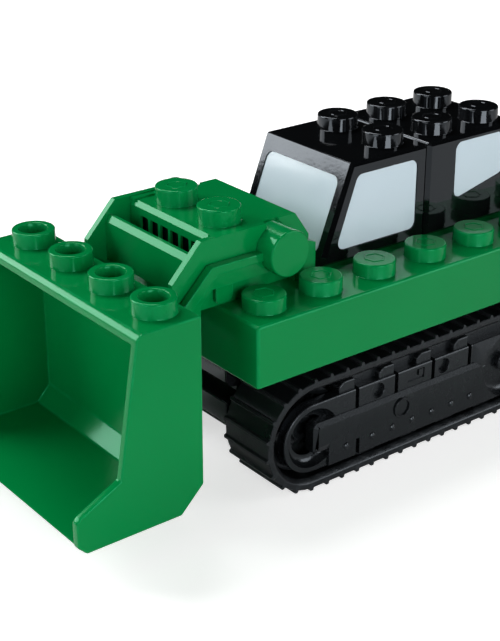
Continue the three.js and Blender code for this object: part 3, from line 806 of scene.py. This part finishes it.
def frame_cuts():
    """The windows, slots and recesses of a track frame's plate."""
    window = [
        (WINDOW_FLOOR_RADIUS, PLATE_INNER - PAST),
        *dish(14.2, WINDOW_FLOOR_RADIUS, 15.1, WINDOW_RADIUS),
        (WINDOW_RADIUS + 0.2, 15.5),
    ]
    round_recess = [(0.95, 14.75), (0.95, 15.24), (1.05, 15.45)]
    cuts = [turned(window, *FRAME_CENTRE)]
    for row in SLOT_ROWS:
        cuts.append(plate_cut(row, SLOT_HALF, BEAM_TOP, LUG_TOP + PAST, SLOT_FLOOR))
    for row in ROUND_RECESS_ROWS:
        cuts.append(turned(round_recess, row, ROUND_RECESS_HEIGHT, 32))
    shallow_panel = plate_cut(-4.2, 1.35, 8.9, 10.2, 15.12)
    deep_square = plate_cut(-3.4, 0.35, 9.3, 10.1, 14.8)
    return joined(*cuts, shallow_panel, deep_square)


def frame_lugs():
    """The lugs along the top and the bottom of a track frame's plate."""
    lugs = []
    for row in SLOT_ROWS:
        front, foot = row - LUG_WIDTH, FRAME_TOP - 0.3
        outline = rounded([
            (front, foot), (row, foot), (row, LUG_TOP, 0.2), (front + 0.6, LUG_TOP, 0.5),
            (front, LUG_TOP - 0.55, 0.3),
        ])
        lugs.append(raised(outline, LUG_INNER, LUG_OUTER, (0, 0.15)))
    for row in LOW_LUG_ROWS:
        rear, head = row + LOW_LUG_WIDTH, FRAME_FOOT + 0.4
        outline = rounded([
            (row, head), (row, LOW_LUG_FOOT + 0.5, 0.3), (row + 0.6, LOW_LUG_FOOT, 0.5),
            (rear, LOW_LUG_FOOT, 0.4), (rear, head),
        ])
        lugs.append(raised(outline, LUG_INNER, LUG_OUTER, (0, 0.15)))
    return joined(*lugs)


def frame_beams():
    """The beam that stands out from each half of the frame, with a wide chamfer."""
    outline = rounded([
        (BEAM_FRONT, BEAM_LOW, 0.25), (BEAM_STEP, BEAM_LOW), (BEAM_STEP, BEAM_TOP),
        (BEAM_FRONT + 0.5, BEAM_TOP, 0.3), (BEAM_FRONT, BEAM_TOP - 0.5, 0.3),
    ])
    return raised(outline, PLATE_INNER + 0.13, BEAM_OUTER, (0, (0.68, 0.2)), 1)


def frame_emblem(y):
    """A plain raised ring on the beam."""
    profile = [(1.0, 15.4), (1.3, 15.4), (1.3, 15.8), (1.24, 15.86), (1.06, 15.86), (1.0, 15.8)]
    return ring_shell(profile, (y, EMBLEM_PLACE[1]), 32)


def frame_shells():
    """The right-hand track frame, as a base and steps."""
    plate = prism(stadium(FRAME_CENTRE, FRAME_RADIUS), PLATE_INNER, PLATE_OUTER, rims=(0, 0.18))
    core = box(
        (HULL_HALF, FRONT_HUB[0] + CORE_REACH, AXLE_HEIGHT - CORE_HALF),
        (PLATE_INNER + 0.2, REAR_HUB[0] - CORE_REACH, AXLE_HEIGHT + CORE_HALF),
    )
    block = prism(
        with_rear([(BLOCK_FRONT, FRAME_FOOT + 0.12), (BLOCK_FRONT, BLOCK_TOP)]),
        PLATE_INNER + 0.1, BEAM_OUTER - 0.005, rims=(0, 0.08),
    )
    crown = prism(
        with_rear([(CROWN_FRONT, BEAM_TOP - 2), (CROWN_FRONT, FRAME_TOP - 0.02)]),
        PLATE_INNER + 0.2, BEAM_OUTER - 0.01, rims=(0, (1.3, 0.3)), steps=1,
    )
    low_slots = plate_cut(SLOT_ROWS[0], SLOT_HALF, LOW_LUG_FOOT, LOW_SLOT_TOP, SLOT_FLOOR)
    emblems = at_both_ends(frame_emblem, EMBLEM_PLACE[0])
    middle_place = (BODY_MIDDLE, FRAME_CENTRE[1])
    middle_dish = dish(14.35, MIDDLE_FLOOR_RADIUS, 15.35, MIDDLE_RADIUS)
    middle = lathe([*middle_dish, (MIDDLE_RADIUS, 15.5), (MIDDLE_RADIUS + 0.2, 15.8)], middle_place, "x")
    hub = lathe([(1.2, 14.0), (1.2, 15.0), (1.05, 15.15)], middle_place, "x", 32)
    dot = arc_profile((0, DOT_FOOT), DOT_RADIUS, 0, 90, 6)
    dots = joined(*[turned(dot, row, DOT_HEIGHT, 24) for row in DOT_ROWS])
    return plate, [
        ("add", core), ("add", frame_lugs()), ("cut", frame_cuts()), ("add", block), ("add", crown),
        ("add", frame_beams()), ("cut", low_slots), ("add", emblems), ("cut", middle), ("add", hub),
        ("add", dots),
    ]


def make_tracks():
    piece_pair("belt_SIDE", "chassis", "track_belt", "track_belt_SIDE", belt_shell())
    base, steps = frame_shells()
    piece_pair("frame_SIDE", "chassis", "track_plastic", "track_frame_SIDE", base, steps, FRAME_SMOOTH)


make_tracks()

# ------------------------------ wheels

SPOKES = 6
SPOKE_INNER, SPOKE_OUTER = 12.0, 13.1
AXLE_RADIUS = 1.5
AXLE_END = 13.55
SOCKET_RADIUS = 0.85
SOCKET_FLOOR = 12.9


def wheel_shell(hub):
    """A drum with a dished outer face round a hub."""
    profile = [
        (1.58, 8.4), (5.1, 8.4), (5.35, 8.65), (5.35, 13.3), (5.15, 13.55), (4.5, 13.6),
        (4.15, 13.35), (4.0, 12.4), (2.6, 12.4), (2.45, 12.75), (2.25, 12.9), (1.58, 12.9),
    ]
    return ring_shell(profile, hub, ROUND_SIDES)


def spoke(hub, turn):
    """A raised spoke that narrows outwards, at an angle round a hub."""
    outline = []
    for along, across in ((2.2, -0.3), (4.4, -0.22), (4.4, 0.22), (2.2, 0.3)):
        outline.append((
            hub[0] + along * math.cos(turn) - across * math.sin(turn),
            hub[1] + along * math.sin(turn) + across * math.cos(turn),
        ))
    return prism(outline, SPOKE_INNER, SPOKE_OUTER, rims=(0, 0.08))


def make_wheels():
    for end, hub in (("front", FRONT_HUB), ("rear", REAR_HUB)):
        body = f"{end}_wheels"
        spokes = joined(*[spoke(hub, math.tau * k / SPOKES) for k in range(SPOKES)])
        piece_pair(
            f"{end}_wheel_SIDE_disc", body, "track_plastic", f"{end}_wheel_SIDE",
            wheel_shell(hub), [("add", spokes)],
        )
        socket = both(prism(circle(hub, SOCKET_RADIUS, 6), SOCKET_FLOOR, AXLE_END + PAST))
        piece(
            f"{end}_axle_bar", body, "track_plastic", [f"{end}_axle"],
            rod(AXLE_RADIUS, -AXLE_END, AXLE_END, hub, 0.15), [("cut", socket)],
        )


make_wheels()

# ------------------------------ cab

CAB_SIDE = cab_high.x
CAB_RIM = 0.45
CAB_NOSE_FOOT = cab_low.y
CAB_NOSE_TOP = -8.6
CAB_REAR = cab_high.y
TAIL_FRONT = tail_low.y
TAIL_FOOT = tail_high.y
TAIL_TOP = TAIL_FRONT + 15.0
CAB_FRONT_ROWS = (3,)
CAB_REAR_ROWS = (4, 5)

WINDOW_CORNER = 1.0
POCKET_DEPTH = 0.62
PANE_DEPTH = POCKET_DEPTH - 0.04
PANE_SINK = 0.12
PANE_EDGE_GAP = 0.03
LEAN_PANE_SHARE = 0.995
PANE_RIMS = (0, 0.06)


def side_pocket(corners):
    """The recess for a window, in both sides of the cab."""
    outline = rounded(corners, WINDOW_CORNER)
    return both(prism(outline, CAB_SIDE - POCKET_DEPTH, CAB_SIDE + PAST))


def side_panes(name, node, corners):
    """The plates in a window on both sides, a little smaller than their recesses."""
    outline = inset(rounded(corners, WINDOW_CORNER), PANE_EDGE_GAP)
    pane = prism(outline, CAB_SIDE - PANE_DEPTH, CAB_SIDE - PANE_SINK, rims=PANE_RIMS)
    piece_pair(name, "chassis", "window_print", node, pane)


def lean_shell(corners, foot, top, depth, proud, rims=(0, 0)):
    """A plate on the cab's leaning face from foot to top, with corners at (x, distance up the face)."""
    points, faces = prism(rounded(corners, WINDOW_CORNER), -depth, proud, "z", rims)
    lean = math.atan2(top - foot, CAB_TOP - BODY_TOP)
    facing = 1 if top > foot else -1
    moved = []
    for x, up, out in points:
        y = foot + up * math.sin(lean) - facing * out * math.cos(lean)
        z = BODY_TOP + up * math.cos(lean) + facing * out * math.sin(lean)
        moved.append((x, y, z))
    return moved, faces


def lean_pane(name, node, corners, foot, top):
    """The plate in a leaning window, a little narrower than its recess."""
    narrower = [(x * LEAN_PANE_SHARE, up) for x, up in corners]
    pane = lean_shell(narrower, foot, top, PANE_DEPTH, -PANE_SINK, PANE_RIMS)
    piece(name, "chassis", "window_print", [node], pane)


def cab_brick(name, node, outline, rows, pockets):
    """A brick of the cab, from its side view, its rows of studs and the recesses for its windows."""
    shell = prism(rounded(outline), -CAB_SIDE, CAB_SIDE, rims=(CAB_RIM, CAB_RIM), steps=1)
    studs, marks = studs_and_marks([(x, row_y(row)) for row in rows for x in INNER_COLUMNS], CAB_TOP)
    steps = [("cut", pocket) for pocket in pockets] + [("add", studs), ("add", marks)]
    piece(name, "chassis", "black_plastic", [node], shell, steps)


def make_cab_front():
    side_window = [(-10.9, 24.35), (1.7, 24.35), (1.7, 33.05), (-7.7, 33.05)]
    shield = [(-6.5, 1.4), (6.5, 1.4), (6.5, 10.65), (-6.5, 10.65)]
    outline = [
        (CAB_NOSE_FOOT, BODY_TOP), (CAB_REAR, BODY_TOP), (CAB_REAR, CAB_TOP, 0.42),
        (CAB_NOSE_TOP, CAB_TOP, 0.3),
    ]
    shield_pocket = lean_shell(shield, CAB_NOSE_FOOT, CAB_NOSE_TOP, POCKET_DEPTH, PAST)
    pockets = [side_pocket(side_window), shield_pocket]
    cab_brick("cab_front_brick", "cab_front", outline, CAB_FRONT_ROWS, pockets)
    lean_pane("windshield_pane", "windshield", shield, CAB_NOSE_FOOT, CAB_NOSE_TOP)
    side_panes("front_pane_SIDE", "front_side_window_SIDE", side_window)


def make_cab_rear():
    side_window = [(8.0, 26.45), (16.6, 28.45), (16.1, 33.75), (7.95, 33.75)]
    back = [(-6.4, 3.4), (6.4, 3.4), (6.4, 11.2), (-6.4, 11.2)]
    outline = [
        (TAIL_FRONT, BODY_TOP), (TAIL_FOOT, BODY_TOP), (TAIL_TOP, CAB_TOP, 0.3),
        (TAIL_FRONT, CAB_TOP, 0.42),
    ]
    back_pocket = lean_shell(back, TAIL_FOOT, TAIL_TOP, POCKET_DEPTH, PAST)
    pockets = [side_pocket(side_window), back_pocket]
    cab_brick("cab_rear_brick", "cab_rear", outline, CAB_REAR_ROWS, pockets)
    lean_pane("rear_pane", "rear_window", back, TAIL_FOOT, TAIL_TOP)
    side_panes("rear_pane_SIDE", "rear_side_window_SIDE", side_window)


make_cab_front()
make_cab_rear()

# ------------------------------ hood

BOSS_RADIUS = 2.69
BOSS_INNER = 7.25
BOSS_ROOM = BOSS_RADIUS + 0.1
NOTCH_FRONT = PIVOT[0] - 1.2
NOTCH_REAR = PIVOT[0] + 1.4
NOTCH_FLOOR = 25.0
NOTCH_INNER = BOSS_INNER - 0.3

HOOD_HALF = 7.4
HOOD_RIM = 0.13
HOOD_REAR = hood_high.y
HOOD_REAR_TOP = 27.4
DECK_REAR = -16.5
DECK_EDGE = 0.5
CHEEK_INNER = 7.9
CHEEK_OUTER = hood_high.x
CHEEK_TOP = 30.62
WALL_INNER = 7.1
SHOULDER_INNER = 7.2
NOSE_FOOT = 23.67
GRILLE_SLOTS = 6
GRILLE_PITCH = 1.955
GRILLE_SLOT_HALF = 0.76
GRILLE_SLOT_TOP = 28.95
PIVOT_PIN_RADIUS = 1.25


def hood_sides():
    """What stands beside the hood's core: a cheek, the wall behind it and a shoulder on each side."""
    cheek_front = NOTCH_FRONT - 0.1
    cheek = [
        (cheek_front, BODY_TOP), (cheek_front, CHEEK_TOP), (-30.35, CHEEK_TOP), (-34.15, 26.6),
        (-34.15, 25.0), (-31.0, BODY_TOP),
    ]
    foot = BODY_TOP + 0.1
    wall = [(-28.3, foot), (NOTCH_FRONT, foot), (NOTCH_FRONT, 30.5), (-28.3, 30.5)]
    shoulder_front = PIVOT[0] + BOSS_ROOM
    shoulder = [
        (shoulder_front, BODY_TOP), (HOOD_REAR, BODY_TOP), (HOOD_REAR, 26.8), (shoulder_front, 28.0),
    ]
    return [
        both(prism(cheek, CHEEK_INNER, CHEEK_OUTER)),
        both(prism(wall, WALL_INNER, CHEEK_OUTER - 0.1)),
        both(prism(shoulder, SHOULDER_INNER, CHEEK_OUTER)),
    ]


def arm_room():
    """The cuts that let an arm's boss turn in each side of the hood, from the boss outwards."""
    bore = lathe([(BOSS_ROOM, BOSS_INNER - 0.15), (BOSS_ROOM, CHEEK_OUTER + PAST)], PIVOT, "x")
    notch = box((NOTCH_INNER, NOTCH_FRONT, NOTCH_FLOOR), (CHEEK_OUTER + PAST, NOTCH_REAR, CHEEK_TOP + PAST))
    gap = box(
        (NOTCH_INNER, PIVOT[0] - 2.15, NOTCH_FLOOR),
        (BOSS_INNER - 0.02, NOTCH_REAR - 0.1, CHEEK_TOP + PAST),
    )
    return [both(bore), both(notch), both(gap)]


def grille_slots():
    """Upright slots in the hood's front face, rounded at the top."""
    slots = []
    low = BODY_TOP + 2.2
    for k in range(GRILLE_SLOTS):
        x = (k - (GRILLE_SLOTS - 1) / 2) * GRILLE_PITCH
        left, right = x - GRILLE_SLOT_HALF, x + GRILLE_SLOT_HALF
        outline = rounded([
            (left, low), (right, low), (right, GRILLE_SLOT_TOP, 0.2), (left, GRILLE_SLOT_TOP, 0.2),
        ])
        slots.append(prism(outline, BODY_FRONT - PAST, BODY_FRONT + 1.2, "y"))
    return joined(*slots)


def make_hood():
    front = BODY_FRONT
    core = prism(
        [
            (front, BODY_TOP), (HOOD_REAR, BODY_TOP), (HOOD_REAR, HOOD_REAR_TOP), (DECK_REAR, DECK_TOP),
            (front + DECK_EDGE, DECK_TOP), (front, DECK_TOP - DECK_EDGE),
        ],
        -HOOD_HALF, HOOD_HALF,
    )
    panel = prism(
        [(-31.7, NOSE_FOOT), (-30.75, NOSE_FOOT), (-30.75, 29.0), (-31.2, 29.0), (-31.7, 28.35)],
        -CHEEK_INNER, CHEEK_INNER,
    )
    shelf = box((-CHEEK_INNER, -31.0, NOSE_FOOT), (CHEEK_INNER, front + 0.3, 24.9))
    cavity = box((-6.4, front + 0.3, BODY_TOP + 0.9), (6.4, -25.0, 29.2))
    studs, marks = studs_and_marks([(x, row_y(0)) for x in INNER_COLUMNS], DECK_TOP, DECK_STUD_HEIGHT)
    steps = [("add", side) for side in hood_sides()] + [("add", panel), ("add", shelf)]
    steps += [("cut", room) for room in arm_room()] + [("soften", HOOD_RIM)]
    steps += [("cut", cavity), ("cut", grille_slots()), ("add", studs), ("add", marks)]
    piece("hood_shell", "chassis", "green_plastic", ["hood"], core, steps)


def make_grille_painted_shade():
    """A black plate behind the grille's slots: painted shade, standing in for the shadow inside the hollow
    hood.
    """
    low, top = BODY_TOP + 1.1, 29.0
    outline = rounded([(-6.2, low), (6.2, low), (6.2, top), (-6.2, top)], 0.4)
    shell = prism(outline, BODY_FRONT + 0.5, BODY_FRONT + 1.5, "y", (0.1, 0.1))
    piece("grille_painted_shade", "chassis", "black_plastic", [], shell)


make_hood()
# painted shade: a black plate behind the grille gives the dark of the hood's hollow inside
make_grille_painted_shade()
make_pin("pivot_pin", "chassis", "arm_pivot_pin", PIVOT_PIN_RADIUS, PIVOT, 0.15)

# ------------------------------ loader arms

ARM_INNER, ARM_OUTER = 8.8, 9.4
ARM_TOP, ARM_LOW = 27.9, 25.1
ARM_BEND = -29.75
LEG_HALF = 2.03
LEG_BEND = 22.7
BAND_INNER, BAND_OUTER = 9.0, 9.8
BAND_WIDTH = 1.05
LEG_BAND_WIDTH = 1.62
BAND_EDGE = 0.02  # how far the raised band stays inside the arm's edge
ARM_LUG_FRONT, ARM_LUG_REAR = -28.9, -26.6
ARM_LUG_HEAD, ARM_LUG_FOOT = 25.9, 23.25
BOSS_CAP = 0.8  # what closes the boss over the pin's end
PIVOT_BORE = 1.31
HINGE_BORE = 1.11
HINGE_PIN_RADIUS = 1.05


def pin_bore(radius, low, high, centre):
    """A round cut along X."""
    return lathe([(radius, low), (radius, high)], centre, "x", PIN_SIDES)


def arm_shells():
    """The right-hand arm, as a base and steps."""
    leg_front, leg_rear = HINGE[0] - LEG_HALF, HINGE[0] + LEG_HALF
    bar = [
        (PIVOT[0], ARM_LOW), (PIVOT[0], ARM_TOP), (ARM_BEND, ARM_TOP, 0.5), (leg_front, LEG_BEND, 0.6),
        (leg_front, 19.0),
    ]
    leg_end = circle(HINGE, LEG_HALF, 16, 180, 360)
    outline = rounded(bar) + leg_end + [(leg_rear, 23.7), (-29.4, ARM_LOW)]
    band_top, band_front = ARM_TOP - BAND_EDGE, leg_front + BAND_EDGE
    band = rounded([
        (PIVOT[0], ARM_TOP - BAND_WIDTH), (PIVOT[0], band_top), (ARM_BEND, band_top, 0.5),
        (band_front, LEG_BEND, 0.6), (band_front, HINGE[1]), (leg_front + LEG_BAND_WIDTH, HINGE[1]),
        (leg_front + LEG_BAND_WIDTH, 22.6, 0.5), (-28.9, ARM_TOP - BAND_WIDTH, 0.4),
    ])
    lug = rounded([
        (ARM_LUG_FRONT, ARM_LUG_HEAD), (ARM_LUG_FRONT, ARM_LUG_FOOT, 0.45),
        (ARM_LUG_REAR, ARM_LUG_FOOT, 0.45), (ARM_LUG_REAR, ARM_LUG_HEAD),
    ])
    return prism(outline, ARM_INNER, ARM_OUTER, rims=(0.1, 0.15)), [
        ("add", prism(band, BAND_INNER, BAND_OUTER, rims=(0, 0.16))),
        ("add", prism(lug, ARM_INNER + 0.03, ARM_OUTER - 0.1, rims=(0.1, 0.15))),
        ("add", rod(BOSS_RADIUS, BOSS_INNER, arm_high.x, PIVOT, 0.22)),
        ("cut", pin_bore(PIVOT_BORE, BOSS_INNER - PAST, arm_high.x - BOSS_CAP, PIVOT)),
        ("cut", pin_bore(HINGE_BORE, ARM_INNER - PAST, BAND_OUTER + PAST, HINGE)),
    ]


def make_arms():
    base, steps = arm_shells()
    piece_pair("arm_SIDE", "loader_arms", "green_plastic", "loader_arm_SIDE", base, steps)


make_arms()
make_pin("hinge_pin", "loader_arms", "bucket_hinge_pin", HINGE_PIN_RADIUS, HINGE, 0.12)

# ------------------------------ bucket

BUCKET_WALL = 0.95
BUCKET_RIM = 0.2
BUCKET_BACK = -35.63
BUCKET_STUDS = -38.7
FLOOR_TOP = 4.27
BORE_RADIUS = 1.6  # of the hollow studs
BORE_DEPTH = 2.15
KNUCKLE_RADIUS = 1.65
KNUCKLE_INNER, KNUCKLE_OUTER = 3.0, 8.6
KNUCKLE_FOOT = 2.6  # half the height of a knuckle's foot on the bucket's back


def make_bucket():
    half, front, bottom = bucket_high.x, bucket_low.y, bucket_low.z
    side_view = [
        (BUCKET_BACK, BUCKET_TOP), (-42.9, BUCKET_TOP), (-43.5, 25.7), (-45.95, 10.65), (-50.9, 8.1),
        (front, 7.6), (front, 4.8), (-50.3, bottom), (-38.53, bottom), (BUCKET_BACK, 6.62),
    ]
    room_front = front - PAST
    room_view = [
        (-36.28, 24.9), (-36.28, 6.25), (-38.0, FLOOR_TOP), (room_front, FLOOR_TOP), (room_front, 24.9),
    ]
    scoop = prism(side_view, -half, half)
    room = prism(room_view, -half + BUCKET_WALL, half - BUCKET_WALL)
    places = [(x, BUCKET_STUDS) for x in ALL_COLUMNS]
    studs = joined(*[stud(x, y, BUCKET_TOP) for x, y in places])
    top = BUCKET_TOP + STUD_HEIGHT
    bore = [
        (BORE_RADIUS - 0.1, top - BORE_DEPTH), (BORE_RADIUS, top - BORE_DEPTH + 0.1),
        (BORE_RADIUS, top - 0.15), (BORE_RADIUS + 0.06, top - 0.05), (BORE_RADIUS + 0.18, top + 0.02),
        (BORE_RADIUS + 0.3, top + 0.3),
    ]
    bores = joined(*[lathe(bore, place) for place in places])
    foot = BUCKET_BACK - 0.3
    knuckle_end = circle(HINGE, KNUCKLE_RADIUS, 10, -60, 60)
    knuckle = prism(
        [(foot, HINGE[1] + KNUCKLE_FOOT), (foot, HINGE[1] - KNUCKLE_FOOT), *knuckle_end],
        KNUCKLE_INNER, KNUCKLE_OUTER, rims=(0.12, 0.12),
    )
    hinge_bore = pin_bore(HINGE_BORE, -KNUCKLE_OUTER - PAST, KNUCKLE_OUTER + PAST, HINGE)
    piece(
        "bucket_scoop", "bucket", "green_plastic", ["bucket"], scoop,
        [
            ("cut", room), ("soften", BUCKET_RIM), ("add", studs), ("add", both(knuckle)), ("cut", bores),
            ("cut", hinge_bore),
        ],
    )


make_bucket()

# ------------------------------ stage, light and camera

FLOOR_HALF = 3.0  # metres, as are all sizes from here on
FLOOR_GLOW = 0.62  # what the camera alone sees the floor give off
LIT_POINT = (0, 0, 0.015)
SOFT_BOXES = (
    ("front_left_box", (-0.50, -0.36, 0.32), 0.42, 3.0),
    ("front_box", (0.1, -0.65, 0.2), 0.42, 1.3),
    ("right_box", (0.64, -0.12, 0.15), 0.42, 2.4),
    ("rear_right_box", (0.5, 0.45, 0.25), 0.42, 1.5),
    ("top_box", (-0.34, 0.05, 0.62), 0.36, 2.8),
)  # name, place, diameter, watts
CAMERA_PLACE = (0.1229, -0.112735, 0.08642)
CAMERA_TILT = 65.26  # degrees up from looking straight down
CAMERA_TURN = 52.11  # degrees
CAMERA_LENS = 80.99  # in millimetres, as is the sensor's width
CAMERA_SENSOR = 36


def soft_box(name, place, diameter, watts):
    """A round white area light that faces the object."""
    data = bpy.data.lights.new(name, "AREA")
    data.shape = "DISK"
    data.size = diameter
    data.energy = watts
    data.color = (1, 1, 1)
    lamp = bpy.data.objects.new(name, data)
    lamp.location = place
    away = Vector(place) - Vector(LIT_POINT)
    lamp.rotation_euler = away.to_track_quat("Z", "Y").to_euler()
    bpy.context.scene.collection.objects.link(lamp)


def make_floor():
    """A pale floor that the camera sees a little brighter than light alone makes it."""
    mesh = bpy.data.meshes.new("floor")
    corners = [(-1, -1), (1, -1), (1, 1), (-1, 1)]
    mesh.from_pydata([(x * FLOOR_HALF, y * FLOOR_HALF, 0) for x, y in corners], [], [(0, 1, 2, 3)])
    floor = bpy.data.objects.new("floor", mesh)
    bpy.context.scene.collection.objects.link(floor)
    material = bpy.data.materials.new("floor")
    material.use_nodes = True
    tree = material.node_tree
    shader = tree.nodes["Principled BSDF"]
    shader.inputs["Base Color"].default_value = (0.80, 0.80, 0.80, 1)
    shader.inputs["Roughness"].default_value = 0.7
    shader.inputs["Emission Color"].default_value = (1, 1, 1, 1)
    rays = tree.nodes.new("ShaderNodeLightPath")
    glow = spread(tree, rays.outputs["Is Camera Ray"], (0, 1), (0, FLOOR_GLOW))
    tree.links.new(glow, shader.inputs["Emission Strength"])
    mesh.materials.append(material)


def make_world():
    """A white backdrop for the camera, and a dim studio that is darker overhead for everything else."""
    world = bpy.data.worlds.new("studio")
    world.use_nodes = True
    tree = world.node_tree
    room = tree.nodes["Background"]
    backdrop = tree.nodes.new("ShaderNodeBackground")
    backdrop.inputs["Color"].default_value = (1, 1, 1, 1)
    backdrop.inputs["Strength"].default_value = 1.0
    direction = tree.nodes.new("ShaderNodeTexCoord").outputs["Generated"]
    parts = tree.nodes.new("ShaderNodeSeparateXYZ")
    tree.links.new(direction, parts.inputs["Vector"])
    dimming = spread(tree, parts.outputs["Z"], (0.0, 0.75), (0.07, 0.03))
    tree.links.new(dimming, room.inputs["Strength"])
    rays = tree.nodes.new("ShaderNodeLightPath")
    choice = tree.nodes.new("ShaderNodeMixShader")
    tree.links.new(rays.outputs["Is Camera Ray"], choice.inputs["Fac"])
    tree.links.new(room.outputs["Background"], choice.inputs[1])
    tree.links.new(backdrop.outputs["Background"], choice.inputs[2])
    tree.links.new(choice.outputs["Shader"], tree.nodes["World Output"].inputs["Surface"])
    bpy.context.scene.world = world


def make_camera():
    data = bpy.data.cameras.new("camera")
    data.sensor_width = CAMERA_SENSOR
    data.lens = CAMERA_LENS
    data.clip_start = 0.005
    data.clip_end = 10
    camera = bpy.data.objects.new("camera", data)
    camera.location = CAMERA_PLACE
    camera.rotation_euler = (math.radians(CAMERA_TILT), 0, math.radians(CAMERA_TURN))
    bpy.context.scene.collection.objects.link(camera)
    bpy.context.scene.camera = camera


make_floor()
for light in SOFT_BOXES:
    soft_box(*light)
make_world()
make_camera()
bpy.context.scene.view_settings.view_transform = "Standard"
